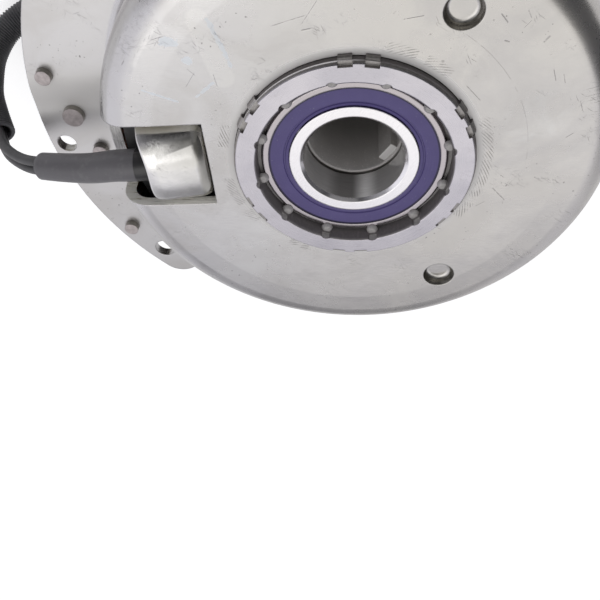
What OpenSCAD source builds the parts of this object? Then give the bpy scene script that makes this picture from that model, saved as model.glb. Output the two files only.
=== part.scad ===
// Electric power take-off clutch for a mower engine, standing on its pulley.
// Millimetres. The shaft axis is Z, the field coil is at the top, the belt pulley at the bottom,
// and the coil's lead leaves towards +X.

/* [Field shell] */
// Outer diameter of the drawn steel shell
shell_d = 152; // [150:1:156]
// Thickness of the shell's sheet
sheet_t = 3.5; // [3:0.5:3.5]
// Outer radius of the shell's rim
rim_r = 9; // [7:0.5:10]
// Radius of the mounting lobe's outer edge
lobe_r = 103; // [101:1:106]
// Half width of the lead's window
window_half_w = 15; // [14:0.5:16]
// Distance from the axis to the window's inner edge
window_x = 43.2; // [42:0.2:44]

/* [Pole ring] */
// Outer diameter of the ring's staked collar
collar_d = 70.4; // [69:0.2:71]
// Height of the collar above the bearing's face
collar_h = 3.5; // [3:0.5:4]
// Number of round punch marks that hold the bearing
bearing_stakes = 12; // [8:1:12]
// Number of pairs of square punch marks that hold the shell
shell_stakes = 6; // [4:1:6]

/* [Shaft] */
// Diameter of the engine shaft's bore
shaft_d = 28.575; // [25.4, 28.575]
// Width of the key in the bore
key_w = 6.35; // [6:0.05:6.5]
// Height of the upper bearing's face above the pulley's lower face
bearing_face_z = 80; // [80:0.5:81]

/* [Pulley] */
// Outer diameter of the belt pulley
pulley_d = 140; // [136:1:144]
// Width of the belt groove at the rim
groove_w = 16.5; // [13:0.5:17]
// Number of lightening holes in the pulley's web
web_holes = 6; // [3:1:8]

/* [Armature] */
// Outer diameter of the armature plate
armature_d = 156; // [152:1:158]
// Gap that the armature closes when the coil pulls
air_gap = 0.4; // [0.3:0.05:0.5]
// Number of leaf springs between pulley and armature
leaf_count = 3; // [3, 4]

/* [Lead] */
// Diameter of the black corrugated conduit
conduit_d = 10; // [8:0.5:11]
// Diameter of one insulated wire
wire_d = 3.4; // [2.5:0.1:3.5]
// Diameter of the sleeve where it enters the hood
sleeve_d = 10.6; // [9:0.2:11]

/* [Hidden] */
$fn = 96;
eps = 0.01;

// Field shell
shell_r = shell_d / 2;
shell_in_r = shell_r - sheet_t;
face_z = bearing_face_z + 1;
face_rise = 0.7;
face_flat_r = 60;
lobe_top_z = 55;
lobe_step = 1;
lobe_bottom_z = lobe_top_z - sheet_t;
lobe_from = -58;
lobe_to = 48;
lobe_corner_r = 8;
lobe_blend_r = 6;
foot_r = 3;
// Rounded corners and blends cross their neighbours by this much, so that no faces are tangent
cross = 0.05;
// Places where the lobe's surface steps up, along Y
step_low_y = -4;
step_high_y = -14.6;
notch_z = 67;
notch_r = 4;
stop_holes = [[97.4, 10, 3.25], [74.2, 60.9, 3.85]];
// Two dimples pressed into the face, with a flat floor and a rounded foot
dimple_places = [[-27.7, -46.5], [-27.8, 48.6]];
dimple_r = 5.15;
dimple_floor_r = 4.6;
dimple_depth = 2.7;
dimple_foot_r = 1.5;
dimple_boss = 0.4;

// Brake hung below the lobe: x, y and radius of each pin
pin_places = [[95.8, -17.1, 2.5], [86.1, 12.5, 2.5], [84.2, 48.6, 2.5], [69.9, -67.5, 2.5]];
stud_place = [91.2, -1.7, 3.4];
pin_rise = 2.2;
spacer_wall = 2;
plate_top_z = 31;
plate_t = 4;
plate_in_r = 69;
plate_out_r = 101;
plate_from = -52;
plate_to = 38;
lining_t = 2.55;
lining_out_r = 78;

// Pole ring
collar_r = collar_d / 2;
collar_top = bearing_face_z + collar_h;
collar_in_r = 28.8;
seat_lip_z = bearing_face_z - 1.7;
shoulder_r = 36.6;
pole_foot_z = 50;
pole_bore_r = 25.5;
stake_turn = 11;
stake_r = 1.75;
stake_c = 28.1;
stake_floor_z = bearing_face_z + 1.2;
pair_turn = 26.8;
pair_half = 5.9;
pair_w = 4;
pair_in_r = 33.8;
pair_floor_z = bearing_face_z + 2.4;

// Upper bearing, 30 x 55 x 13
ub_bore_r = 15;
ub_out_r = 27.5;
ub_w = 13;
ub_low_z = bearing_face_z - ub_w;
ub_pitch_r = 21.25;
ub_inner_r = 19.1;
ub_outer_in_r = 23.7;
ub_seal_r = 25.35;
ub_balls = 12;

// Lower bearing, 40 x 68 x 15
lb_bore_r = 20;
lb_out_r = 34;
lb_w = 15;
lb_low_z = 12;
lb_pitch_r = 27;
lb_inner_r = 24.6;
lb_outer_in_r = 29.4;
lb_seal_r = 31.4;
lb_balls = 12;
ball_r = 3.97;
race_play = 0.08;
cage_h = 9.4;
cage_play = 0.15;
bore_chamfer = 1;
rim_chamfer = 0.6;
seal_t = 1.1;
seal_in = 0.35;
seal_play = 0.25;

// Rotor
shaft_r = shaft_d / 2;
hub_nose_r = 18.6;
hub_r = 22;
hub_end_z = 0;
hub_top_z = ub_low_z;
nose_z = 62;
disc_low_z = 40;
disc_t = 6;
rim_top_z = 56;
rotor_rim_r = shell_in_r - 0.6;
rotor_rim_in_r = 65.5;
rotor_pole_r = shoulder_r + 0.6;
rotor_pole_out_r = 43;
key_tip_r = 11.7;
key_angle = 143;
key_top_z = hub_top_z - 0.8;
key_low_z = 3;
slot_inner_r = 46;
slot_outer_r = 61;
slot_w = 3;
slot_count = 6;
friction_in_r = 49.5;
friction_out_r = 57.5;
friction_t = 2.5;
snap_t = 1.7;
snap_play = 0.05;
hub_snap_z = lb_low_z - snap_t - snap_play;
hub_groove_r = 18.7;

// Pulley
pulley_r = pulley_d / 2;
pulley_h = 25;
groove_floor_r = 57.5;
groove_half_angle = 18;
rim_in_r = 52;
web_low_z = 9;
web_t = 6;
pulley_hub_r = 47;
pulley_hub_h = 30;
pulley_hub_in_r = 39.5;
pulley_lip_r = 31.5;
web_hole_r = 4.2;
web_hole_c = 45.8;
pulley_snap_z = lb_low_z + lb_w + snap_play;
pulley_groove_r = 35.6;

// Armature and springs
armature_r = armature_d / 2;
armature_in_r = 28;
armature_t = 6;
armature_top_z = disc_low_z - air_gap;
armature_low_z = armature_top_z - armature_t;
armature_slot_r = 53.5;
leaf_t = 0.8;
leaf_w = 11;
leaf_z = pulley_hub_h;
leaf_pulley_r = 43.3;
leaf_armature_r = 63;
leaf_sweep = 44;
leaf_rivet_r = 2.6;
leaf_head_r = 4.2;
rivet_play = 0.15;

// Coil
bobbin_low_z = 57.5;
bobbin_top_z = 70.5;
bobbin_in_r = shoulder_r + 0.4;
bobbin_out_r = 70.5;
bobbin_wall = 1.3;
potting_top_z = 77;
potting_out_r = 68.6;
lead_gap_angle = 25;

// Hood over the lead
hood_x = 43.8;
hood_mouth_x = 63.6;
hood_mouth_dip = 2.4;
hood_ridge_x = 58;
hood_back_h = 11.7;
hood_slope = 0.2;
hood_back_r = 4;
hood_lip_r = 4.5;
hood_lip_drop = 1.3;
hood_half_w = 14.2;
// The hood's mouth is rounded off at its far corner, from this distance across
hood_trim_y = 4;
hood_trim_w = 8;
hood_trim = 5;
hood_low_z = bobbin_top_z;
hood_t = 1.2;
hood_rows = 18;
hood_cols = 30;
hood_square = 0.57;
// The hood's near side is rounder than its far side
hood_square_near = 0.82;

// Route of the lead, from the hood to the connector
sleeve_route = [
    [56, 1, 75.7], [65, 2, 76.8], [74, 3, 76], [83, 5, 74.5], [92, 6, 72.8], [101, 7, 70.5]
];
wire_route = [
    [101, 7, 70.5], [107, 8, 67.8], [112.5, 8.3, 64], [117.5, 8.3, 58.8], [120.8, 7.3, 52.3]
];
conduit_route = [
    [120.8, 7.3, 52.3], [125, 5.2, 44.2], [128.6, 3, 36], [130.3, 0.5, 28], [130.3, -3, 20],
    [127, -7, 12], [120, -10.5, 7], [110, -14, 5.2], [101, -18, 5.2], [94, -25, 5.2],
    [88, -36, 5.2], [80, -50, 5.2], [69, -64, 5.2], [55, -76, 5.2], [38, -85, 5.2],
    [20, -91, 5.2], [0, -94, 5.2], [-18, -95, 5.2], [-36, -95, 5.2]
];
tail_route = [
    [-36, -95, 5.2], [-42, -95, 5.4], [-48, -95, 5.6], [-54, -95, 5.6]
];
wire_side = 1.75;
tube_sides = 10;

// Connector at the lead's end, pointing along -X
plug_x = -54;
plug_y = -95;
plug_len = 30;
plug_w = 17;
plug_h = 11;
plug_wall = 1.5;
plug_depth = 13;

// A point on a circle in the plane
function polar(r, a) = [r * cos(a), r * sin(a)];

// A smooth curve through route points, as points spaced between each pair
function spline_at(p, i, t) =
    let (
        n = len(p) - 1,
        a = i > 0 ? p[i - 1] : 2 * p[0] - p[1],
        b = p[i],
        c = p[i + 1],
        d = i + 2 > n ? 2 * p[n] - p[n - 1] : p[i + 2]
    )
    0.5 * ((2 * b) + (c - a) * t + (2 * a - 5 * b + 4 * c - d) * t * t
        + (3 * b - a - 3 * c + d) * t * t * t);

function spline(p, per) =
    [for (i = [0 : len(p) - 2]) for (k = [0 : per - 1]) spline_at(p, i, k / per), p[len(p) - 1]];

function unit(v) = v / norm(v);

function heading(p, i) = unit(p[min(i + 1, len(p) - 1)] - p[max(i - 1, 0)]);

// A direction across the path that stays level
function level(t) = unit(cross([0, 0, 1], t));

function shifted(p, side) =
    [for (i = [0 : len(p) - 1]) p[i] + level(heading(p, i)) * side];

// Directions across a path, each turned as little as possible from the one before
function carried(p, i, u) =
    i == len(p) ? [] :
    let (t = heading(p, i), v = unit(u - (u * t) * t))
    concat([v], carried(p, i + 1, v));

// A closed round tube along a path, with a radius at each end
module tube(path, r0, r1) {
    n = len(path);
    m = tube_sides;
    across = carried(path, 0, level(heading(path, 0)));
    pts = [
        for (i = [0 : n - 1])
            let (u = across[i], v = cross(heading(path, i), u), r = r0 + (r1 - r0) * i / (n - 1))
            for (k = [0 : m - 1])
                path[i] + r * (cos(360 * k / m) * u + sin(360 * k / m) * v)
    ];
    sides = [
        for (i = [0 : n - 2]) for (k = [0 : m - 1])
            [i * m + k, i * m + (k + 1) % m, (i + 1) * m + (k + 1) % m, (i + 1) * m + k]
    ];
    start = [[for (k = [0 : m - 1]) m - 1 - k]];
    end = [[for (k = [0 : m - 1]) (n - 1) * m + k]];
    polyhedron(points = pts, faces = concat(sides, start, end));
}

// A ring sector between two angles and two radii
module sector(r_in, r_out, from, to, z, h) {
    translate([0, 0, z])
        rotate_extrude(angle = to - from, start = from)
            translate([r_in, 0])
                square([r_out - r_in, h]);
}

module ring(r_in, r_out, z, h) {
    translate([0, 0, z])
        rotate_extrude()
            translate([r_in, 0])
                square([r_out - r_in, h]);
}

// Half section of a cup with a rounded upper corner
module cup_half(r, top, corner, low) {
    union() {
        translate([0, low])
            square([r, top - corner - low]);
        translate([0, low])
            square([r - corner, top - low]);
        translate([r - corner, top - corner])
            circle(r = corner);
    }
}

// The face dips a little towards the pole ring, above and below the sheet
module face_dip(top) {
    polygon([[0, top + 1], [0, top - face_rise], [collar_r, top - face_rise],
        [face_flat_r, top], [face_flat_r + 1, top + 1]]);
}

module shell_body() {
    rotate_extrude()
        difference() {
            cup_half(shell_r, face_z, rim_r, lobe_bottom_z);
            face_dip(face_z);
            difference() {
                cup_half(shell_in_r, face_z - sheet_t, rim_r - sheet_t, lobe_bottom_z - 1);
                face_dip(face_z - sheet_t);
            }
            square([collar_r, 2 * bearing_face_z]);
        }
}

// Parts of the lobe's outline: the plate, its ends, the rounded corners and the hollow blends
module lobe_part(i) {
    a = asin(lobe_corner_r / (lobe_r - lobe_corner_r));
    b = asin(lobe_blend_r / (shell_r + lobe_blend_r));
    z = lobe_bottom_z - 1;
    h = sheet_t + lobe_step + 2;
    if (i == 0)
        sector(shell_in_r, lobe_r, lobe_from + a, lobe_to - a, z, h);
    if (i == 1)
        sector(shell_in_r, (lobe_r - lobe_corner_r) * cos(a), lobe_from, lobe_to, z, h);
    if (i == 2)
        for (end = [lobe_from + a, lobe_to - a])
            translate(concat(polar(lobe_r - lobe_corner_r, end), z))
                cylinder(r = lobe_corner_r + cross, h = h);
    if (i == 3)
        for (side = [[lobe_from, -1], [lobe_to, 1]])
            difference() {
                sector(shell_in_r, (shell_r + lobe_blend_r) * cos(b),
                    min(side[0], side[0] + side[1] * b), max(side[0], side[0] + side[1] * b), z, h);
                translate(concat(polar(shell_r + lobe_blend_r, side[0] + side[1] * b), z - 1))
                    cylinder(r = lobe_blend_r + cross, h = h + 2);
            }
}

// Height of the lobe's upper face along Y, with a soft step
function lobe_lift(y) =
    let (t = min(1, max(0, (step_low_y - y) / (step_low_y - step_high_y))))
    lobe_step * (3 - 2 * t) * t * t;

module lobe_profile() {
    ys = [-lobe_r - 1, for (k = [0 : 12]) step_high_y + (step_low_y - step_high_y) * k / 12,
        lobe_r + 1];
    top = [for (y = ys) [y, lobe_top_z + lobe_lift(y)]];
    low = [for (k = [len(ys) - 1 : -1 : 0]) [ys[k], lobe_bottom_z + lobe_lift(ys[k])]];
    rotate([90, 0, 90])
        linear_extrude(height = lobe_r + 1)
            polygon(concat(top, low));
}

// Rounded foot between the shell's wall and the lobe
module lobe_foot(from, to, lift) {
    translate([0, 0, lobe_top_z + lift])
        rotate_extrude(angle = to - from, start = from)
            difference() {
                translate([shell_in_r + 1, -1.2])
                    square([shell_r - shell_in_r - 1 + foot_r, foot_r + 1.2]);
                translate([shell_r + foot_r, foot_r])
                    circle(r = foot_r + cross);
            }
}

// Cut for the lead, through the face, the rim and the upper part of the wall
module window_cut() {
    translate([window_x, -window_half_w, notch_z + notch_r])
        cube([shell_r, 2 * window_half_w, bearing_face_z]);
    translate([window_x, -window_half_w + notch_r, notch_z])
        cube([shell_r, 2 * (window_half_w - notch_r), notch_r + 1]);
    for (side = [-1, 1])
        translate([window_x, side * (window_half_w - notch_r), notch_z + notch_r])
            rotate([0, 90, 0])
                cylinder(r = notch_r, h = shell_r);
}

// Height of the dipping face at a distance from the axis
function face_height(r) = face_z - face_rise * (face_flat_r - r) / (face_flat_r - collar_r);

// A dimple with a leaning wall, open at the face
module dimple_cut(p) {
    lean = (dimple_r - dimple_floor_r) / (dimple_depth - dimple_foot_r);
    above = 0.8;
    foot = [for (a = [0 : 15 : 75])
        [dimple_floor_r - dimple_foot_r * (1 - sin(a)), dimple_foot_r * (1 - cos(a))]];
    translate([p[0], p[1], face_height(norm(p)) - dimple_depth])
        rotate_extrude()
            polygon(concat([[0, 0]], foot, [[dimple_floor_r, dimple_foot_r],
                [dimple_r + lean * above, dimple_depth + above], [0, dimple_depth + above]]));
}

// The metal that the dimple pushes out below the sheet
module dimple_boss(p) {
    translate([p[0], p[1], face_height(norm(p)) - sheet_t - dimple_boss])
        cylinder(r1 = dimple_r - 0.3, r2 = dimple_r + 0.4, h = dimple_boss + 1);
}

module field_shell() {
    color([0.74, 0.74, 0.73])
        difference() {
            union() {
                shell_body();
                for (i = [0 : 3])
                    intersection() {
                        lobe_part(i);
                        lobe_profile();
                    }
                lobe_foot(-5, lobe_to, 0);
                lobe_foot(lobe_from, -5, lobe_step);
                for (p = dimple_places)
                    dimple_boss(p);
            }
            window_cut();
            for (p = dimple_places)
                dimple_cut(p);
            for (h = stop_holes)
                translate([h[0], h[1], lobe_bottom_z - 1])
                    cylinder(r = h[2], h = sheet_t + 3);
            for (p = concat(pin_places, [stud_place]))
                translate([p[0], p[1], lobe_bottom_z - 1])
                    cylinder(r = p[2], h = sheet_t + 3);
        }
}

// Half-round punch mark with the lug that it pushes over the bearing
module bearing_stake_cut() {
    translate([stake_c, 0, stake_floor_z])
        cylinder(r = stake_r, h = collar_h, $fn = 24);
}

module bearing_stake_lug() {
    intersection() {
        translate([stake_c, 0, bearing_face_z - 0.3])
            sphere(r = stake_r + 0.1, $fn = 24);
        translate([stake_c - 2, -2, bearing_face_z])
            cube([4, 4, stake_floor_z - bearing_face_z]);
    }
}

// Square punch mark's lug, bent down over the shell
module pair_stake_lug(low) {
    rotate([90, 0, 0])
        translate([0, 0, 0.1 - pair_w / 2])
            linear_extrude(height = pair_w - 0.2)
                polygon([[pair_in_r, low], [pair_in_r, pair_floor_z], [collar_r - 0.4, pair_floor_z],
                    [collar_r + 0.5, pair_floor_z - 0.6], [collar_r + 0.8, pair_floor_z - 1.4],
                    [collar_r + 0.8, low]]);
}

module pole_ring() {
    lug_z = face_z - face_rise;
    color([0.80, 0.79, 0.80])
        union() {
            difference() {
                rotate_extrude()
                    polygon([
                        [pole_bore_r, pole_foot_z], [shoulder_r, pole_foot_z],
                        [shoulder_r, lug_z - sheet_t], [collar_r, lug_z - sheet_t],
                        [collar_r, collar_top - 0.8], [collar_r - 0.6, collar_top],
                        [collar_in_r + 0.5, collar_top], [collar_in_r, collar_top - 0.5],
                        [collar_in_r, seat_lip_z], [ub_out_r, seat_lip_z],
                        [ub_out_r, ub_low_z], [pole_bore_r, ub_low_z]
                    ]);
                for (k = [0 : bearing_stakes - 1])
                    rotate([0, 0, stake_turn + 360 * k / bearing_stakes])
                        bearing_stake_cut();
                for (k = [0 : shell_stakes - 1], side = [-1, 1])
                    rotate([0, 0, pair_turn + 360 * k / shell_stakes + side * pair_half])
                        translate([pair_in_r, -pair_w / 2, pair_floor_z])
                            cube([2, pair_w, collar_h]);
            }
            for (k = [0 : bearing_stakes - 1])
                rotate([0, 0, stake_turn + 360 * k / bearing_stakes])
                    bearing_stake_lug();
            for (k = [0 : shell_stakes - 1], side = [-1, 1])
                rotate([0, 0, pair_turn + 360 * k / shell_stakes + side * pair_half])
                    pair_stake_lug(lug_z + 0.1);
        }
}

module coil_bobbin() {
    color([0.16, 0.16, 0.17])
        rotate_extrude()
            difference() {
                translate([bobbin_in_r, bobbin_low_z])
                    square([bobbin_out_r - bobbin_in_r, bobbin_top_z - bobbin_low_z]);
                translate([bobbin_in_r + bobbin_wall, bobbin_low_z + bobbin_wall])
                    square([bobbin_out_r, bobbin_top_z - bobbin_low_z - 2 * bobbin_wall]);
            }
}

module coil_winding() {
    color([0.62, 0.33, 0.17])
        ring(bobbin_in_r + bobbin_wall, bobbin_out_r - 0.8, bobbin_low_z + bobbin_wall,
            bobbin_top_z - bobbin_low_z - 2 * bobbin_wall);
}

module coil_potting() {
    color([0.13, 0.13, 0.14])
        sector(bobbin_in_r, potting_out_r, lead_gap_angle, 360 - lead_gap_angle,
            bobbin_top_z, face_z - face_rise - sheet_t - bobbin_top_z);
}

// Height of the hood's crown along X, rolled down at its inner end and a little at its mouth
function hood_crown(x) =
    let (
        back = min(1, max(0, (x - hood_x) / hood_back_r)),
        lip = min(1, max(0, (x - hood_mouth_x + hood_lip_r) / hood_lip_r)),
        slope = hood_slope * (min(x, hood_ridge_x) - hood_x)
    )
    hood_back_h + slope
        - 7 * (1 - sqrt(1 - (1 - back) * (1 - back)))
        - hood_lip_drop * (1 - sqrt(1 - 0.9 * lip * lip));

function hood_width(x) =
    let (back = min(1, max(0, (x - hood_x) / hood_back_r)))
    hood_half_w - 2.2 * (1 - sqrt(1 - (1 - back) * (1 - back)));

// A point of the hood: u runs from the inner end to the mouth, a is 0 to 180 across
function hood_point(u, a, inset) =
    let (
        c = cos(a),
        q = c < 0 ? hood_square_near : hood_square,
        far = (hood_half_w * pow(max(0, c), q) - hood_trim_y) / hood_trim_w,
        trim = min(0.98, max(0, far)),
        mouth = hood_mouth_x - hood_mouth_dip * pow(sin(a), 4)
            - hood_trim * (1 - sqrt(1 - trim * trim)),
        x0 = hood_x + inset,
        x = x0 + u * (mouth - x0),
        w = hood_width(x - inset) - inset,
        h = hood_crown(x - inset) - inset
    )
    [x, w * sign(c) * pow(abs(c), q), hood_low_z + h * pow(sin(a), q)];

module lead_hood() {
    nu = hood_rows;
    na = hood_cols;
    step = na + 1;
    rows = [for (i = [0 : nu]) pow(i / nu, 1.7)];
    outer = [for (u = rows) for (k = [0 : na]) hood_point(u, 180 * k / na, 0)];
    inner = [for (u = rows) for (k = [0 : na]) hood_point(u, 180 * k / na, hood_t)];
    b = len(outer);
    out_faces = [for (i = [0 : nu - 1]) for (k = [0 : na - 1])
        [i * step + k, (i + 1) * step + k, (i + 1) * step + k + 1, i * step + k + 1]];
    in_faces = [for (i = [0 : nu - 1]) for (k = [0 : na - 1])
        [b + i * step + k, b + i * step + k + 1, b + (i + 1) * step + k + 1, b + (i + 1) * step + k]];
    mouth = [for (k = [0 : na - 1])
        [nu * step + k, b + nu * step + k, b + nu * step + k + 1, nu * step + k + 1]];
    foot_a = [for (i = [0 : nu - 1])
        [i * step, b + i * step, b + (i + 1) * step, (i + 1) * step]];
    foot_b = [for (i = [0 : nu - 1])
        [i * step + na, (i + 1) * step + na, b + (i + 1) * step + na, b + i * step + na]];
    back_out = [[for (k = [0 : na]) k]];
    back_in = [[for (k = [0 : na]) b + na - k]];
    back_foot = [[0, na, b + na, b]];
    color([0.82, 0.81, 0.78])
        polyhedron(
            points = concat(outer, inner),
            faces = concat(out_faces, in_faces, mouth, foot_a, foot_b, back_out, back_in,
                back_foot),
            convexity = 6);
}

module brake_pins() {
    color([0.72, 0.70, 0.70])
        for (p = pin_places)
            translate([p[0], p[1], plate_top_z - plate_t - 1.6]) {
                cylinder(r = p[2] + 1.8, h = 1.6);
                cylinder(r = p[2],
                    h = lobe_top_z + lobe_lift(p[1]) + pin_rise - plate_top_z + plate_t + 1.6);
            }
}

module brake_stud() {
    p = stud_place;
    color([0.72, 0.70, 0.70])
        translate([p[0], p[1], plate_top_z - plate_t - 2]) {
            cylinder(r = p[2] + 2.2, h = 2, $fn = 6);
            cylinder(r = p[2], h = lobe_top_z + pin_rise - plate_top_z + plate_t + 2);
        }
}

module spacer_at(p) {
    translate([p[0], p[1], plate_top_z])
        difference() {
            cylinder(r = p[2] + spacer_wall,
                h = lobe_bottom_z + lobe_lift(p[1] + p[2] + spacer_wall) - plate_top_z);
            translate([0, 0, -1])
                cylinder(r = p[2], h = lobe_top_z);
        }
}

module brake_spacers() {
    color([0.66, 0.66, 0.66])
        for (p = pin_places)
            spacer_at(p);
}

module stud_spacer() {
    color([0.66, 0.66, 0.66])
        spacer_at(stud_place);
}

module brake_plate() {
    round_r = (plate_out_r - plate_in_r) / 2;
    mid_r = plate_in_r + round_r;
    color([0.60, 0.60, 0.60])
        difference() {
            union() {
                sector(plate_in_r, plate_out_r, plate_from, plate_to, plate_top_z - plate_t, plate_t);
                for (a = [plate_from, plate_to])
                    translate(concat(polar(mid_r, a), plate_top_z - plate_t))
                        cylinder(r = round_r, h = plate_t);
            }
            for (p = concat(pin_places, [stud_place]))
                translate([p[0], p[1], 0])
                    cylinder(r = p[2], h = plate_top_z + 1);
        }
}

module brake_lining() {
    color([0.25, 0.22, 0.20])
        sector(plate_in_r + 1, lining_out_r, plate_from + 4, plate_to - 4, plate_top_z, lining_t);
}

// Outer race of a sealed bearing, with its ball groove and seal recesses
module outer_race(r_out, r_in, r_seal, r_pitch, z, w) {
    c = rim_chamfer;
    color([0.80, 0.80, 0.81])
        translate([0, 0, z])
            rotate_extrude()
                difference() {
                    polygon([[r_in, 1.6], [r_seal, 1.6], [r_seal, 0], [r_out - c, 0],
                        [r_out, c], [r_out, w - c], [r_out - c, w], [r_seal, w],
                        [r_seal, w - 1.6], [r_in, w - 1.6]]);
                    translate([r_pitch, w / 2])
                        circle(r = ball_r + race_play);
                }
}

module inner_race(r_in, r_out, r_pitch, z, w) {
    c = bore_chamfer;
    color([0.88, 0.88, 0.89])
        translate([0, 0, z])
            rotate_extrude()
                difference() {
                    polygon([[r_in + c, 0], [r_out, 0], [r_out, w], [r_in + c, w],
                        [r_in, w - c], [r_in, c]]);
                    translate([r_pitch, w / 2])
                        circle(r = ball_r + race_play);
                }
}

// Rubber-faced seal, pressed in the outer race, with a lip near the inner race
module seal(r_in, r_out, z, top) {
    s = top ? 1 : -1;
    color([0.33, 0.30, 0.45])
        translate([0, 0, z])
            rotate_extrude()
                polygon([[r_in + seal_play, 0], [r_out, 0], [r_out, s * seal_t],
                    [r_in + 1.9, s * seal_t], [r_in + 1.7, s * (seal_t - 0.35)],
                    [r_in + 1.3, s * (seal_t - 0.35)], [r_in + 1.1, s * seal_t],
                    [r_in + seal_play, s * (seal_t - 0.2)]]);
}

module balls(r_pitch, z, w, n) {
    color([0.85, 0.85, 0.87])
        for (k = [0 : n - 1])
            rotate([0, 0, 360 * k / n])
                translate([r_pitch, 0, z + w / 2])
                    sphere(r = ball_r, $fn = 24);
}

module cage(r_pitch, z, w, n) {
    color([0.55, 0.45, 0.28])
        translate([0, 0, z + w / 2])
            difference() {
                ring(r_pitch - 1.1, r_pitch + 1.1, -cage_h / 2, cage_h);
                for (k = [0 : n - 1])
                    rotate([0, 0, 360 * k / n])
                        translate([r_pitch - 3, -ball_r - cage_play, -ball_r - cage_play])
                            cube([6, 2 * (ball_r + cage_play), 2 * (ball_r + cage_play)]);
            }
}

module upper_outer_race() {
    outer_race(ub_out_r, ub_outer_in_r, ub_seal_r, ub_pitch_r, ub_low_z, ub_w);
}

module upper_inner_race() {
    inner_race(ub_bore_r, ub_inner_r, ub_pitch_r, ub_low_z, ub_w);
}

module upper_seal_top() {
    seal(ub_inner_r, ub_seal_r, bearing_face_z - seal_in - seal_t, true);
}

module upper_seal_bottom() {
    seal(ub_inner_r, ub_seal_r, ub_low_z + seal_in + seal_t, false);
}

module upper_balls() {
    balls(ub_pitch_r, ub_low_z, ub_w, ub_balls);
}

module upper_cage() {
    cage(ub_pitch_r, ub_low_z, ub_w, ub_balls);
}

// Curved slot with round ends, cut right through a plate
module curved_slot(r, w, from, to, z, h) {
    sector(r - w / 2, r + w / 2, from, to, z, h);
    for (a = [from, to])
        translate(concat(polar(r, a), z))
            cylinder(r = w / 2 + cross, h = h, $fn = 24);
}

module rotor() {
    color([0.55, 0.55, 0.55])
        union() {
            difference() {
                rotate_extrude()
                    polygon([
                        [shaft_r, hub_end_z], [lb_bore_r - 1, hub_end_z],
                        [lb_bore_r, hub_end_z + 1], [lb_bore_r, hub_snap_z],
                        [hub_groove_r, hub_snap_z], [hub_groove_r, hub_snap_z + snap_t],
                        [lb_bore_r, hub_snap_z + snap_t], [lb_bore_r, lb_low_z + lb_w],
                        [hub_r, lb_low_z + lb_w], [hub_r, disc_low_z],
                        [friction_in_r, disc_low_z], [friction_in_r, disc_low_z + friction_t],
                        [friction_out_r, disc_low_z + friction_t], [friction_out_r, disc_low_z],
                        [rotor_rim_r - 1, disc_low_z], [rotor_rim_r, disc_low_z + 1],
                        [rotor_rim_r, rim_top_z], [rotor_rim_in_r, rim_top_z],
                        [rotor_rim_in_r - 1, disc_low_z + disc_t],
                        [rotor_pole_out_r + 1, disc_low_z + disc_t],
                        [rotor_pole_out_r, rim_top_z], [rotor_pole_r, rim_top_z],
                        [rotor_pole_r, disc_low_z + disc_t], [hub_r, disc_low_z + disc_t],
                        [hub_r, nose_z - 3], [hub_nose_r, nose_z], [hub_nose_r, hub_top_z],
                        [shaft_r + 0.4, hub_top_z], [shaft_r, hub_top_z - 0.4]
                    ]);
                for (k = [0 : slot_count - 1])
                    rotate([0, 0, 360 * k / slot_count]) {
                        curved_slot(slot_inner_r, slot_w, 6, 54, disc_low_z - 1, disc_t + 2);
                        curved_slot(slot_outer_r, slot_w, 36, 84, disc_low_z - 1, disc_t + 2);
                    }
            }
            rotate([0, 0, key_angle])
                translate([key_tip_r, -key_w / 2, key_low_z])
                    cube([shaft_r - key_tip_r + 1, key_w, key_top_z - key_low_z]);
        }
}

module friction_ring() {
    color([0.30, 0.25, 0.22])
        ring(friction_in_r, friction_out_r, disc_low_z, friction_t);
}

// Split ring in a groove, open over a few degrees
module snap_ring(r_in, r_out, z, gap) {
    color([0.35, 0.35, 0.36])
        sector(r_in, r_out, gap / 2, 360 - gap / 2, z, snap_t - 0.05);
}

module hub_snap_ring() {
    snap_ring(hub_groove_r, lb_bore_r + 2.6, hub_snap_z, 40);
}

module lower_inner_race() {
    inner_race(lb_bore_r, lb_inner_r, lb_pitch_r, lb_low_z, lb_w);
}

module lower_outer_race() {
    outer_race(lb_out_r, lb_outer_in_r, lb_seal_r, lb_pitch_r, lb_low_z, lb_w);
}

module lower_seal_top() {
    seal(lb_inner_r, lb_seal_r, lb_low_z + lb_w - seal_in - seal_t, true);
}

module lower_seal_bottom() {
    seal(lb_inner_r, lb_seal_r, lb_low_z + seal_in + seal_t, false);
}

module lower_balls() {
    balls(lb_pitch_r, lb_low_z, lb_w, lb_balls);
}

module lower_cage() {
    cage(lb_pitch_r, lb_low_z, lb_w, lb_balls);
}

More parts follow.
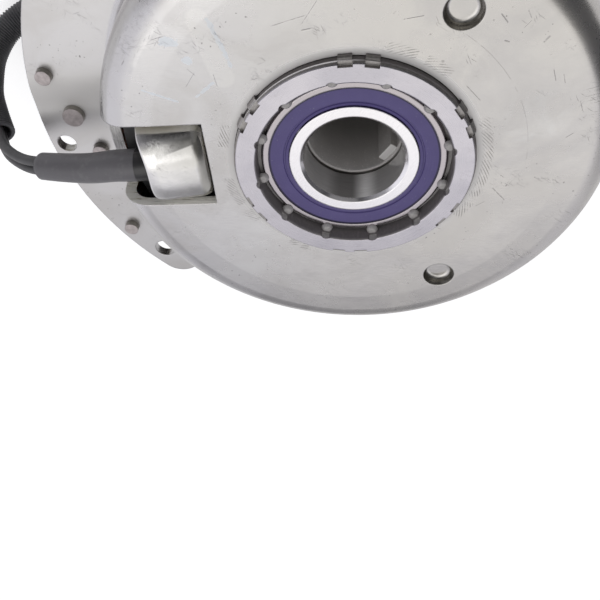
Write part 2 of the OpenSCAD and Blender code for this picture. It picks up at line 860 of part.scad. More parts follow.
module pulley() {
    groove_drop = (pulley_r - groove_floor_r) * tan(groove_half_angle);
    mid_z = pulley_h / 2;
    color([0.62, 0.62, 0.61])
        difference() {
            rotate_extrude()
                polygon([
                    [pulley_lip_r, lb_low_z - 4], [pulley_hub_in_r, lb_low_z - 4],
                    [pulley_hub_in_r + 1, web_low_z], [rim_in_r - 1, web_low_z],
                    [rim_in_r, web_low_z - 1], [rim_in_r + 1, 0],
                    [pulley_r - 0.6, 0], [pulley_r, 0.6],
                    [pulley_r, mid_z - groove_w / 2],
                    [groove_floor_r, mid_z - groove_w / 2 + groove_drop],
                    [groove_floor_r, mid_z + groove_w / 2 - groove_drop],
                    [pulley_r, mid_z + groove_w / 2],
                    [pulley_r, pulley_h - 0.6], [pulley_r - 0.6, pulley_h],
                    [rim_in_r + 1, pulley_h], [rim_in_r, web_low_z + web_t + 1],
                    [rim_in_r - 1, web_low_z + web_t], [pulley_hub_in_r + 1, web_low_z + web_t],
                    [pulley_hub_in_r, web_low_z + web_t + 1],
                    [pulley_hub_in_r, pulley_hub_h - 4], [pulley_hub_r, pulley_hub_h - 4],
                    [pulley_hub_r, pulley_hub_h], [lb_out_r, pulley_hub_h],
                    [lb_out_r, pulley_snap_z + snap_t], [pulley_groove_r, pulley_snap_z + snap_t],
                    [pulley_groove_r, pulley_snap_z], [lb_out_r, pulley_snap_z],
                    [lb_out_r, lb_low_z], [pulley_lip_r, lb_low_z]
                ]);
            for (k = [0 : web_holes - 1])
                rotate([0, 0, 360 * (k + 0.5) / web_holes])
                    translate([web_hole_c, 0, 0])
                        cylinder(r = web_hole_r, h = pulley_hub_h - 5);
            for (k = [0 : leaf_count - 1])
                rotate([0, 0, 360 * k / leaf_count])
                    translate([leaf_pulley_r, 0, pulley_hub_h - 5])
                        cylinder(r = leaf_rivet_r, h = 6);
        }
}

module pulley_snap_ring() {
    snap_ring(lb_out_r - 2.4, pulley_groove_r, pulley_snap_z, 36);
}

// One straight spring leaf from its pulley rivet to its armature rivet
module leaf() {
    a = polar(leaf_pulley_r, 0);
    b = polar(leaf_armature_r, leaf_sweep);
    run = norm(b - a);
    turn = atan2(b[1] - a[1], b[0] - a[0]);
    translate([a[0], a[1], leaf_z])
        rotate([0, 0, turn])
            difference() {
                union() {
                    cylinder(r = leaf_w / 2, h = leaf_t);
                    translate([run, 0, 0])
                        cylinder(r = leaf_w / 2, h = leaf_t);
                    translate([0, -leaf_w / 2 + 1, 0])
                        cube([run, leaf_w - 2, leaf_t]);
                }
                translate([0, 0, -1])
                    cylinder(r = leaf_rivet_r, h = 3);
                translate([run, 0, -1])
                    cylinder(r = leaf_rivet_r + rivet_play, h = 3);
            }
}

module leaf_springs() {
    color([0.45, 0.47, 0.50])
        for (k = [0 : leaf_count - 1])
            rotate([0, 0, 360 * k / leaf_count])
                leaf();
}

module leaf_rivets() {
    color([0.66, 0.66, 0.66])
        for (k = [0 : leaf_count - 1])
            rotate([0, 0, 360 * k / leaf_count])
                translate([leaf_pulley_r, 0, 0]) {
                    translate([0, 0, pulley_hub_h - 5.2])
                        cylinder(r = leaf_rivet_r + 0.8, h = 1.2);
                    translate([0, 0, pulley_hub_h - 4])
                        cylinder(r = leaf_rivet_r, h = 4 + leaf_t);
                    translate([0, 0, leaf_z + leaf_t])
                        cylinder(r = leaf_head_r, h = 1.4);
                }
}

module armature() {
    color([0.52, 0.51, 0.50])
        difference() {
            ring(armature_in_r, armature_r, armature_low_z, armature_t);
            for (k = [0 : slot_count - 1])
                rotate([0, 0, 360 * k / slot_count])
                    curved_slot(armature_slot_r, slot_w, 8, 52, armature_low_z - 1,
                        armature_t + 2);
            for (k = [0 : leaf_count - 1])
                rotate([0, 0, 360 * k / leaf_count + leaf_sweep])
                    translate([leaf_armature_r, 0, armature_low_z - 1]) {
                        cylinder(r = leaf_rivet_r, h = armature_t + 2);
                        translate([0, 0, armature_t])
                            cylinder(r = leaf_head_r, h = 2);
                    }
        }
}

module armature_rivets() {
    color([0.66, 0.66, 0.66])
        for (k = [0 : leaf_count - 1])
            rotate([0, 0, 360 * k / leaf_count + leaf_sweep])
                translate([leaf_armature_r, 0, 0]) {
                    translate([0, 0, leaf_z - rivet_play - 1.4])
                        cylinder(r = leaf_head_r, h = 1.4);
                    translate([0, 0, leaf_z - rivet_play])
                        cylinder(r = leaf_rivet_r,
                            h = armature_top_z - 1 - leaf_z + rivet_play);
                    translate([0, 0, leaf_z + leaf_t + rivet_play])
                        cylinder(r = leaf_head_r + 0.8,
                            h = armature_low_z - leaf_z - leaf_t - rivet_play);
                }
}

module lead_sleeve() {
    color([0.22, 0.22, 0.23])
        tube(spline(sleeve_route, 2), sleeve_d / 2, sleeve_d / 2 - 0.9);
}

module lead_wires() {
    color([0.20, 0.20, 0.21])
        for (side = [-wire_side, wire_side]) {
            tube(shifted(spline(wire_route, 2), side), wire_d / 2, wire_d / 2);
            tube(shifted(spline(tail_route, 2), side), wire_d / 2, wire_d / 2);
        }
}

module lead_conduit() {
    color([0.12, 0.12, 0.13])
        tube(spline(conduit_route, 2), conduit_d / 2, conduit_d / 2);
}

module at_plug() {
    translate([plug_x, plug_y, 0])
        mirror([1, 0, 0])
            children();
}

// Rounded block of the connector's outline, along its length
module plug_block(x, len, w, z, h, r) {
    translate([x, 0, z + h / 2])
        rotate([90, 0, 90])
            linear_extrude(height = len)
                union() {
                    square([w - 2 * r, h], center = true);
                    square([w, h - 2 * r], center = true);
                    for (a = [-1, 1], b = [-1, 1])
                        translate([a * (w / 2 - r), b * (h / 2 - r)])
                            circle(r = r, $fn = 24);
                }
}

module connector_body() {
    color([0.10, 0.10, 0.11])
        at_plug()
            difference() {
                union() {
                    plug_block(2, plug_len - 2, plug_w, 0, plug_h, 1.5);
                    plug_block(4, 3, plug_w + 2.4, 0.6, plug_h - 1.2, 1.5);
                    translate([7, 0, plug_h - 0.5])
                        rotate([90, 0, 0])
                            linear_extrude(height = 7, center = true)
                                polygon([[0, 0], [0, 2.4], [13, 2.4], [16, 1.7], [16, 0]]);
                }
                plug_block(plug_len - plug_depth, plug_depth + 1, plug_w - 2 * plug_wall,
                    plug_wall, plug_h - 2 * plug_wall, 0.6);
            }
}

module connector_seal() {
    color([0.45, 0.16, 0.12])
        at_plug()
            plug_block(0, 2, plug_w - 3, 1.5, plug_h - 3, 1.5);
}

module connector_contacts() {
    color([0.78, 0.66, 0.35])
        at_plug()
            for (side = [-4.2, 4.2])
                translate([plug_len - plug_depth, side - 1.4, plug_h / 2 - 0.4])
                    cube([9.5, 2.8, 0.8]);
}

field_shell();
pole_ring();
coil_bobbin();
coil_winding();
coil_potting();
lead_hood();
brake_pins();
brake_stud();
brake_spacers();
stud_spacer();
brake_plate();
brake_lining();
upper_outer_race();
upper_seal_top();
upper_seal_bottom();
upper_inner_race();
upper_balls();
upper_cage();
rotor();
friction_ring();
lower_inner_race();
hub_snap_ring();
lower_balls();
lower_cage();
pulley();
lower_outer_race();
lower_seal_top();
lower_seal_bottom();
pulley_snap_ring();
leaf_springs();
leaf_rivets();
armature();
armature_rivets();
lead_sleeve();
lead_wires();
lead_conduit();
connector_body();
connector_seal();
connector_contacts();
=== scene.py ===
import math

import bpy
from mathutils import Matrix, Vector


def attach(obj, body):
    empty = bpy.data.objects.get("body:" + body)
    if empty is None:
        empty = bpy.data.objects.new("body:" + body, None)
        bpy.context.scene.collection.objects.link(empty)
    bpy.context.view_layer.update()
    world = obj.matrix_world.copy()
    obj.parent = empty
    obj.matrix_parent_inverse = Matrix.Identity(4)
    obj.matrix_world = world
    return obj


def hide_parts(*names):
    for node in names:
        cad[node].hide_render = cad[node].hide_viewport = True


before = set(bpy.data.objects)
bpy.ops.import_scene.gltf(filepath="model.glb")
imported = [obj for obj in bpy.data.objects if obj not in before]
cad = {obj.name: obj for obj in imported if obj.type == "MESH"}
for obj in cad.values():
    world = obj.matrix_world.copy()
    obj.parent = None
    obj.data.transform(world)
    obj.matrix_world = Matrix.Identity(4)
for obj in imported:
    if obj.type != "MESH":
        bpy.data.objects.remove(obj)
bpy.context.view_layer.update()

# The photograph's view: about 300 mm away and 50 degrees above, looking over the lobe's near side,
# with the camera turned upside down so that the lead leaves to the left.
camera = bpy.data.objects.new("camera", bpy.data.cameras.new("camera"))
camera.data.sensor_width = 36
camera.data.lens = 45.04
camera.data.clip_start = 0.005
camera.location = (-0.00477, -0.14253, 0.25500)
camera.rotation_euler = [math.radians(a) for a in (-49.687, 3.3735, 175.828)]
bpy.context.collection.objects.link(camera)
bpy.context.scene.camera = camera


# The lead's black conduit: a corrugated plastic tube, about 0.245 m long, pushed loosely over the two
# wires. It falls from the sleeve, passes under the lobe and lies on the floor round the pulley.
CONDUIT_D = 0.010
CONDUIT_END_STEP = 0.0009
CONDUIT_WALL = 0.0005
CONDUIT_BORE_RINGS = 90
RIB_PITCH = 0.0011
# one rib: share of the pitch, and depth below the outer diameter
RIB_PROFILE = ((0.06, 0.0004), (0.2, 0.00012), (0.36, 0.0), (0.52, 0.0), (0.68, 0.00012),
               (0.82, 0.0004), (0.94, 0.00045))
CONDUIT_ROUTE = [
    (120.8, 7.3, 52.3), (125, 5.2, 44.2), (128.6, 3, 36), (130.3, 0.5, 28), (130.3, -3, 20),
    (127, -7, 12), (120, -10.5, 7), (110, -14, 5.2), (101, -18, 5.2), (94, -25, 5.2),
    (88, -36, 5.2), (80, -50, 5.2), (69, -64, 5.2), (55, -76, 5.2), (38, -85, 5.2),
    (20, -91, 5.2), (0, -94, 5.2), (-18, -95, 5.2), (-36, -95, 5.2),
]


def smooth_route(points, step):
    """The CAD model's curve through a route's points in mm: metres, at even steps."""
    p = [Vector(q) / 1000 for q in points]
    fine = []
    for i in range(len(p) - 1):
        b, c = p[i], p[i + 1]
        a = p[i - 1] if i else 2 * b - c
        d = p[i + 2] if i + 2 < len(p) else 2 * c - b
        for k in range(40):
            t = k / 40
            fine.append(0.5 * (2 * b + (c - a) * t + (2 * a - 5 * b + 4 * c - d) * t * t
                               + (3 * b - a - 3 * c + d) * t ** 3))
    fine.append(p[-1])
    even, walked = [fine[0]], 0.0
    for a, b in zip(fine, fine[1:]):
        run = (b - a).length
        while walked + run >= step:
            a = a + (b - a) * ((step - walked) / run)
            run = (b - a).length
            walked = 0.0
            even.append(a)
        walked += run
    if (even[-1] - fine[-1]).length > step * 0.3:
        even.append(fine[-1])
    else:
        even[-1] = fine[-1]
    return even


def route_length(path):
    return sum((b - a).length for a, b in zip(path, path[1:]))


def heading(path, i):
    """The path's direction at its point i."""
    return (path[min(i + 1, len(path) - 1)] - path[max(i - 1, 0)]).normalized()


def square_to(way, old):
    """The direction nearest to the old one that is square to the way."""
    return (old - old.dot(way) * way).normalized()


def lathe_along(name, path, profile, sides, closed=True):
    """A skin of rings: profile gives (place along the path in metres, radius), in order."""
    walked = [0.0]
    for a, b in zip(path, path[1:]):
        walked.append(walked[-1] + (b - a).length)
    ways = [heading(path, i) for i in range(len(path))]
    across = [Vector((0, 0, 1)).cross(ways[0]).normalized()]
    for way in ways[1:]:
        across.append(square_to(way, across[-1]))
    verts, faces, k = [], [], 0
    for where, radius in profile:
        while k < len(walked) - 2 and walked[k + 1] < where:
            k += 1
        while k > 0 and walked[k] > where:
            k -= 1
        share = (where - walked[k]) / (walked[k + 1] - walked[k])
        share = min(1.0, max(0.0, share))
        centre = path[k].lerp(path[k + 1], share)
        way = ways[k].lerp(ways[k + 1], share).normalized()
        side = square_to(way, across[k].lerp(across[k + 1], share))
        up = way.cross(side)
        for j in range(sides):
            a = 2 * math.pi * j / sides
            verts.append(centre + radius * (math.cos(a) * side + math.sin(a) * up))
    rings = len(profile)
    for i in range(rings if closed else rings - 1):
        here, after = i * sides, (i + 1) % rings * sides
        for j in range(sides):
            m = (j + 1) % sides
            faces.append((here + j, here + m, after + m, after + j))
    mesh = bpy.data.meshes.new(name)
    mesh.from_pydata(verts, [], faces)
    mesh.validate()
    mesh.shade_smooth()
    piece = bpy.data.objects.new(name, mesh)
    bpy.context.collection.objects.link(piece)
    return piece


def finish(name, colour, metal=0.0, rough=0.5):
    """A new material with its shader. The helpers below add their nodes to the tree made last."""
    global tree
    mat = bpy.data.materials.new(name)
    mat.use_nodes = True
    tree = mat.node_tree
    shader = tree.nodes["Principled BSDF"]
    shader.inputs["Base Color"].default_value = (*colour, 1)
    shader.inputs["Metallic"].default_value = metal
    shader.inputs["Roughness"].default_value = rough
    return mat


def node(kind, inputs=None, **settings):
    """A new node. Each input is a plain value or another node's socket."""
    made = tree.nodes.new(kind)
    for key, value in settings.items():
        setattr(made, key, value)
    for key, value in (inputs or {}).items():
        if isinstance(value, bpy.types.NodeSocket):
            tree.links.new(value, made.inputs[key])
        else:
            made.inputs[key].default_value = value
    return made


def join(socket, key):
    """Gives a socket to the shader's input of that name."""
    tree.links.new(socket, tree.nodes["Principled BSDF"].inputs[key])


def place():
    """Points of the object in metres, the same on every piece."""
    return node("ShaderNodeTexCoord").outputs["Object"]


def grain(where, scale, detail=3.0, rough=0.5, stretch=None, turn=0.0, twist=0.0):
    """A noise from 0 to 1. stretch squeezes it along axes, turn rotates it about Z first."""
    if turn:
        where = node("ShaderNodeVectorRotate", {"Vector": where, "Angle": math.radians(turn)},
                     rotation_type="Z_AXIS").outputs[0]
    if stretch:
        where = node("ShaderNodeVectorMath", {0: where, 1: stretch},
                     operation="MULTIPLY").outputs[0]
    return node("ShaderNodeTexNoise", {"Vector": where, "Scale": scale, "Detail": detail,
                "Roughness": rough, "Distortion": twist}).outputs["Fac"]


def spread(value, low, high, to_low=0.0, to_high=1.0, soft=False):
    """0 at low and 1 at high, or the two ends that are given; soft eases them in and out."""
    kind = "SMOOTHSTEP" if soft else "LINEAR"
    return node("ShaderNodeMapRange", {"Value": value, "From Min": low, "From Max": high,
                "To Min": to_low, "To Max": to_high}, interpolation_type=kind).outputs["Result"]


def between(share, a, b):
    """A colour mixed between two, each a plain colour or a socket."""
    a, b = ((*c, 1) if isinstance(c, tuple) else c for c in (a, b))
    return node("ShaderNodeMix", {0: share, 6: a, 7: b}, data_type="RGBA").outputs[2]


def roughen(pattern, low, high):
    """Roughness between two values, by a grain."""
    join(spread(pattern, 0.3, 0.7, low, high), "Roughness")


def relief(height, depth, under=None):
    """Bump of a height map whose 0 to 1 stands for depth in metres."""
    made = node("ShaderNodeBump", {"Height": height, "Strength": 1.0, "Distance": depth})
    if under is not None:
        tree.links.new(under, made.inputs["Normal"])
    join(made.outputs["Normal"], "Normal")
    return made.outputs["Normal"]


black_plastic = finish("conduit_black", (0.020, 0.020, 0.021), rough=0.36)
xyz = place()
tone = between(spread(grain(xyz, 220, 5), 0.5, 0.75), (0.060, 0.059, 0.064), (0.095, 0.093, 0.096))
join(tone, "Base Color")
roughen(grain(xyz, 90), 0.30, 0.44)
relief(grain(xyz, 1500, 2), 0.00004)

conduit_path = smooth_route(CONDUIT_ROUTE, 0.0012)
conduit_run = route_length(conduit_path)
ribs = int(conduit_run / RIB_PITCH)
pitch = conduit_run / ribs
end_radius = CONDUIT_D / 2 - CONDUIT_END_STEP
bore_radius = end_radius - CONDUIT_WALL
outside = [(0.0, end_radius)]
for k in range(ribs):
    for share, drop in RIB_PROFILE:
        outside.append((conduit_run * k / ribs + share * pitch, CONDUIT_D / 2 - drop))
outside.append((conduit_run, end_radius))
inside = [(conduit_run * k / CONDUIT_BORE_RINGS, bore_radius)
          for k in range(CONDUIT_BORE_RINGS, -1, -1)]
conduit = lathe_along("conduit", conduit_path, outside + inside, sides=20)
conduit.data.materials.append(black_plastic)
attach(conduit, "field")
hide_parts("lead_conduit")


# The two insulated wires: 3.4 mm, laid side by side from the coil through sleeve and conduit to the
# plug, and bare to view only for the short stretches at both ends.
WIRE_D = 0.0034
WIRE_SIDE = 0.00178
WIRE_RINGS = 190
SLEEVE_ROUTE = [(56, 1, 75.7), (65, 2, 76.8), (74, 3, 76), (83, 5, 74.5), (92, 6, 72.8),
                (101, 7, 70.5)]
WIRE_ROUTE = [(101, 7, 70.5), (107, 8, 67.8), (112.5, 8.3, 64), (117.5, 8.3, 58.8),
              (120.8, 7.3, 52.3)]
TAIL_ROUTE = [(-36, -95, 5.2), (-42, -95, 5.4), (-48, -95, 5.6), (-54, -95, 5.6)]

wire_black = finish("wire_black", (0.03, 0.03, 0.032), rough=0.4)
xyz = place()
join(between(grain(xyz, 160, 4), (0.048, 0.047, 0.050), (0.080, 0.078, 0.080)), "Base Color")
roughen(grain(xyz, 300), 0.33, 0.5)
relief(grain(xyz, 700, 3), 0.00008)

whole_route = SLEEVE_ROUTE + WIRE_ROUTE[1:] + CONDUIT_ROUTE[1:] + TAIL_ROUTE[1:]
middle = smooth_route(whole_route, 0.002)
for name, side in (("wire_left", -WIRE_SIDE), ("wire_right", WIRE_SIDE)):
    path = []
    level = Vector((0, 0, 1)).cross(heading(middle, 0)).normalized()
    for i, point in enumerate(middle):
        level = square_to(heading(middle, i), level)
        path.append(point + level * side)
    run = route_length(path)
    jacket = [(run * k / WIRE_RINGS, WIRE_D / 2) for k in range(WIRE_RINGS + 1)]
    wire = lathe_along(name, path, [(0.0, 0.0), *jacket, (run, 0.0)], sides=14, closed=False)
    wire.data.materials.append(wire_black)
    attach(wire, "field")
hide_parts("lead_wires")


# The sleeve: a soft vinyl tube that protects the wires where they leave the hood. It is pushed in
# under the hood's lip, and tapers to a rounded open end.
SLEEVE_D = 0.0106
SLEEVE_END_D = 0.0088
SLEEVE_END_ROUND = 0.0008
SLEEVE_BORE_R = 0.0036
SLEEVE_RINGS = 60
SLEEVE_BORE_RINGS = 12


def figure(do, a, b=0.0, c=0.0):
    """A sum of one to three numbers, each a plain value or a socket."""
    return node("ShaderNodeMath", {0: a, 1: b, 2: c}, operation=do).outputs[0]


def parts(point):
    """The x, y and z of a point or direction."""
    return node("ShaderNodeSeparateXYZ", {0: point}).outputs


sleeve_black = finish("sleeve_grey", (0.045, 0.045, 0.048), rough=0.45)
xyz = place()
dust = spread(grain(xyz, 420, 6, 0.65), 0.52, 0.8)
along = parts(xyz)[0]
# what lies under the hood's lip is stretched tight, darker and glossy
tight = spread(along, 0.0668, 0.0664)
tone = between(dust, (0.112, 0.108, 0.115), (0.160, 0.155, 0.160))
join(between(tight, tone, (0.026, 0.025, 0.026)), "Base Color")
satin = spread(grain(xyz, 120), 0.3, 0.7, 0.34, 0.42)
join(figure("MULTIPLY_ADD", tight, -0.14, satin), "Roughness")
relief(grain(xyz, 200, 3, stretch=(0.25, 1, 1)), 0.00005)

sleeve_path = smooth_route(SLEEVE_ROUTE, 0.001)
sleeve_run = route_length(sleeve_path)
skin = [(0.0, SLEEVE_BORE_R)]
for k in range(SLEEVE_RINGS + 1):
    where = sleeve_run * k / SLEEVE_RINGS
    radius = (SLEEVE_D + (SLEEVE_END_D - SLEEVE_D) * k / SLEEVE_RINGS) / 2
    left = sleeve_run - where
    if left < SLEEVE_END_ROUND:
        radius -= SLEEVE_END_ROUND - left
    skin.append((where, radius))
skin.append((sleeve_run, SLEEVE_BORE_R + 0.0002))
for k in range(SLEEVE_BORE_RINGS - 1, 0, -1):
    skin.append((sleeve_run * k / SLEEVE_BORE_RINGS, SLEEVE_BORE_R))
sleeve = lathe_along("sleeve", sleeve_path, skin, sides=28)
sleeve.data.materials.append(sleeve_black)
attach(sleeve, "field")
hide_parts("lead_sleeve")


# The two-way plug on the lead's end: a moulded body with a latch, a rubber wire seal behind it and
# two brass contacts in its socket.
def dress(name, mat):
    """Gives a piece that keeps its CAD shape its finish."""
    slots = cad[name].data.materials
    slots.clear()
    slots.append(mat)


moulded_black = finish("plug_black", (0.018, 0.018, 0.019), rough=0.5)
xyz = place()
roughen(grain(xyz, 500, 4), 0.42, 0.6)
relief(grain(xyz, 2600, 2), 0.00003)
seal_rubber = finish("plug_seal_rubber", (0.20, 0.035, 0.02), rough=0.55)
relief(grain(place(), 1800, 2), 0.00003)
contact_brass = finish("contact_brass", (0.66, 0.47, 0.18), 1.0, 0.25)
xyz = place()
roughen(grain(xyz, 900, 3, stretch=(0.1, 1, 1)), 0.16, 0.36)
dress("connector_body", moulded_black)
dress("connector_seal", seal_rubber)
dress("connector_contacts", contact_brass)


# The field shell: a cup drawn from 3.5 mm steel, with the stop lobe as its flange and a window for the
# lead. It is zinc plated with a satin look, wiped, and a little scratched and nicked by handling.
SHELL_FACE = 0.081
WINDOW_HALF = 0.014
NOTCH_FLOOR = 0.067
DIMPLES = ((-0.0277, -0.0465, 0), (-0.0278, 0.0486, 0))
# scratches: direction in degrees, length, width, and how rare they are
SCRATCHES = ((35, 0.005, 0.00024, 0.67), (-60, 0.004, 0.00022, 0.68),
             (65, 0.004, 0.00024, 0.69), (-15, 0.008, 0.00020, 0.69))
# nicks: from, to, and width
NICKS = (((0.0451, -0.0276), (0.0420, -0.0319), 0.00016),
         ((0.0437, -0.0331), (0.0420, -0.0311), 0.00014),
         ((0.0370, -0.0310), (0.0365, -0.0273), 0.00026),
         ((0.0198, -0.0445), (0.0115, -0.0469), 0.00022),
         ((0.0122, -0.0448), (0.0080, -0.0509), 0.00022),
         ((0.0123, -0.0429), (0.0100, -0.0433), 0.00055),
         ((-0.0132, -0.0449), (-0.0180, -0.0457), 0.00036),
         ((-0.0368, -0.0456), (-0.0386, -0.0433), 0.00034),
         ((-0.0442, -0.0435), (-0.0427, -0.0416), 0.00024),
         ((-0.0483, -0.0378), (-0.0493, -0.0391), 0.00075),
         ((-0.0385, -0.0383), (-0.0396, -0.0379), 0.00050),
         ((-0.0592, -0.0080), (-0.0608, -0.0093), 0.00036),
         ((-0.0372, 0.0177), (-0.0394, 0.0161), 0.00036),
         ((-0.0414, 0.0107), (-0.0453, 0.0152), 0.00026),
         ((-0.0304, -0.0251), (-0.0343, -0.0206), 0.00014),
         ((-0.0520, -0.0297), (-0.0531, -0.0264), 0.00020),
         ((-0.0548, -0.0282), (-0.0556, -0.0256), 0.00016),
         ((0.0614, -0.0346), (0.0605, -0.0358), 0.00045))
# rows of ticks round the pole ring: middle and half length, in degrees
TICK_ROWS = ((-16, 6), (16, 8), (-110, 6), (-126, 6), (150, 5), (32, 4), (61, 5))


def marks(where, turn, length, width, cut):
    """Scratches as long and wide as given, in metres; a higher cut leaves fewer."""
    found = grain(where, 1.0, 1.5, 0.5, (1 / length, 1 / width, 1 / length), turn)
    return spread(found, cut, cut + 0.05)


def worn_edge(radius):
    """The normal with sharp edges rounded to this radius, to be bumped further."""
    return node("ShaderNodeBevel", {"Radius": radius}, samples=6).outputs[0]


def times(first, *others):
    """The product of all."""
    for other in others:
        first = figure("MULTIPLY", first, other)
    return first


def most(first, *others):
    """The largest of all."""
    for other in others:
        first = figure("MAXIMUM", first, other)
    return first


def less(share):
    """What a share leaves of 1."""
    return figure("SUBTRACT", 1.0, share)


def outward():
    """The three parts of the surface's own direction, before any bump."""
    return parts(node("ShaderNodeTexCoord").outputs["Normal"])


def around(at):
    """Distance from the shaft's axis in metres, and the angle round it."""
    squares = figure("ADD", times(at[0], at[0]), times(at[1], at[1]))
    return figure("SQRT", squares), figure("ARCTAN2", at[1], at[0])


def vector(do, a, b=(0, 0, 0), out=0):
    """A sum of one or two vectors; out 1 is the sum's number, as of a length."""
    return node("ShaderNodeVectorMath", {0: a, 1: b}, operation=do).outputs[out]


def spot(xyz, centre, inner, outer, squash=(1, 1, 1)):
    """1 near a point and 0 away from it, with a soft border."""
    away = vector("MULTIPLY", vector("SUBTRACT", xyz, centre), squash)
    return spread(vector("LENGTH", away, out=1), outer, inner, soft=True)


def stroke(xyz, a, b, width, soft):
    """A straight mark as wide as given between two points seen from above."""
    start = Vector((a[0], a[1], 0))
    way = Vector((b[0], b[1], 0)) - start
    away = vector("MULTIPLY", vector("SUBTRACT", xyz, start), (1, 1, 0))
    along = vector("DOT_PRODUCT", away, way.normalized(), out=1)
    held = node("ShaderNodeClamp", {"Value": along, "Min": 0.0, "Max": way.length}).outputs[0]
    foot = node("ShaderNodeVectorMath", {0: way.normalized(), "Scale": held},
                operation="SCALE").outputs[0]
    far = vector("LENGTH", vector("SUBTRACT", away, foot), out=1)
    return spread(far, width / 2, width / 2 * (1 - soft), soft=True)


shell_steel = finish("shell_steel", (0.62, 0.605, 0.59), 1.0, 0.27)
xyz = place()
at = parts(xyz)
radius, angle = around(at)
facing = outward()
# warm steel to the right, a little cooler by the lead, with clouds from wiping
tint = between(spread(at[0], -0.02, 0.05, soft=True), (0.630, 0.608, 0.578), (0.615, 0.603, 0.603))
cloud = spread(grain(xyz, 34, 5, 0.58, twist=0.8), 0.40, 0.66, 0, 0.8, soft=True)
tint = between(cloud, tint, (0.545, 0.528, 0.515))
fog = spread(grain(xyz, 75, 5, 0.62, twist=1.2), 0.46, 0.66)
fog_zone = most(spot(xyz, (0.036, 0.037, SHELL_FACE), 0.006, 0.018),
                spot(xyz, (-0.050, -0.014, SHELL_FACE), 0.004, 0.013))
tint = between(times(fog, fog_zone, 0.22), tint, (0.74, 0.75, 0.75))
# dried film with crisp edges beside the lead
film = most(spot(xyz, (0.0472, -0.0412, SHELL_FACE), 0.0012, 0.0042, (1, 1.6, 0)),
            spot(xyz, (0.0432, -0.0357, SHELL_FACE), 0.0006, 0.0026),
            stroke(xyz, (0.0360, -0.0470), (0.0318, -0.0336), 0.0026, 0.9),
            stroke(xyz, (0.0426, -0.0243), (0.0374, -0.0286), 0.0018, 0.9),
            stroke(xyz, (0.0575, -0.0271), (0.0482, -0.0229), 0.0014, 0.9))
edge = grain(xyz, 330, 5, 0.62, twist=1.4)
film = spread(figure("MULTIPLY_ADD", film, 0.42, edge), 0.76, 0.79)
tint = between(times(film, 0.62), tint, (0.71, 0.755, 0.80))
wiped = times(stroke(xyz, (0.0385, -0.0470), (0.0345, -0.0300), 0.0070, 0.25),
              spread(edge, 0.30, 0.42), 0.22)
tint = between(wiped, tint, (0.76, 0.75, 0.72))
# scratches in small flocks, one long arc that a turning tool left, and single nicks
flock = spread(grain(xyz, 85, 2, 0.5), 0.56, 0.68)
arc = times(figure("COMPARE", radius, 0.0495, 0.00007), spread(angle, -2.1, -2.3),
            spread(grain(xyz, 160, 2), 0.38, 0.5), 0.4)
lines = most(times(most(*[marks(xyz, *scratch) for scratch in SCRATCHES]), flock), arc)
nicks = times(most(*[stroke(xyz, a, b, width, 0.7) for a, b, width in NICKS]),
              spread(grain(xyz, 1300, 2), 0.34, 0.5, 0.35, 1.0))
# rows of short ticks round the pole ring, where its tool chattered
slant = figure("MULTIPLY_ADD", radius, 1.1, times(angle, 0.026))
tick = spread(figure("FRACT", times(slant, 1000)), 0.50, 0.22)
zone = times(spread(radius, 0.0369, 0.0373), spread(radius, 0.0404, 0.0396))
rows = most(spread(figure("ABSOLUTE", angle), 2.74, 2.80),
            *[figure("COMPARE", angle, math.radians(at_angle), math.radians(half))
              for at_angle, half in TICK_ROWS])
tick = times(tick, zone, rows, spread(grain(xyz, 420, 2), 0.34, 0.54, 0.15, 1.0))
speck = times(spread(grain(xyz, 900, 1, 0.4), 0.74, 0.77), spread(grain(xyz, 60, 2), 0.47, 0.62))
# dark specks rubbed into the rim's near end
rubbed = times(stroke(xyz, (0.0496, -0.0520), (0.0600, -0.0405), 0.0075, 0.8),
               spread(grain(xyz, 620, 5, 0.7), 0.52, 0.66), 0.25)
rubbed = most(rubbed, times(spot(xyz, (0.0612, -0.0220, 0.080), 0.002, 0.0055),
                            spread(grain(xyz, 520, 3, 0.6), 0.63, 0.68)))
tint = between(times(lines, 0.5), tint, (0.30, 0.29, 0.28))
tint = between(times(tick, 0.75), tint, (0.24, 0.23, 0.22))
tint = between(times(nicks, 0.40), tint, (0.17, 0.16, 0.155))
tint = between(times(most(speck, rubbed), 0.7), tint, (0.13, 0.12, 0.115))
# painted shade on the dimples' steep walls, and in the sharp corner round the pole ring
dimples = most(*[spot(xyz, centre, 0.0054, 0.0057, (1, 1, 0)) for centre in DIMPLES])
painted_dimple_shade = times(dimples, spread(facing[2], 0.93, 0.60), 0.70)
tint = between(painted_dimple_shade, tint, (0.22, 0.21, 0.18))
painted_corner_shade = times(spread(radius, 0.0355, 0.0353), spread(at[2], 0.079, 0.0795))
tint = between(times(painted_corner_shade, 0.8), tint, (0.16, 0.15, 0.145))
# the window's sheared edges: torn, and yellowed by their passivation; their bright ridges are painted
# highlights
aside = figure("ABSOLUTE", at[1])
sheared = times(spread(figure("ABSOLUTE", facing[1]), 0.8, 0.9),
                figure("COMPARE", aside, WINDOW_HALF, 0.00115))
corner = times(spread(facing[2], 0.6, 0.3), figure("COMPARE", at[2], 0.0695, 0.0026),
               figure("COMPARE", aside, 0.0130, 0.0021), spread(radius, 0.0757, 0.0755))
sheared = times(most(sheared, corner), spread(at[0], 0.0425, 0.0431))
torn = grain(xyz, 1.0, 4, 0.7, (110, 300, 1500), twist=0.4)
tint = between(sheared, tint,
               between(spread(torn, 0.34, 0.43), (0.36, 0.31, 0.19), (1.0, 0.985, 0.91)))
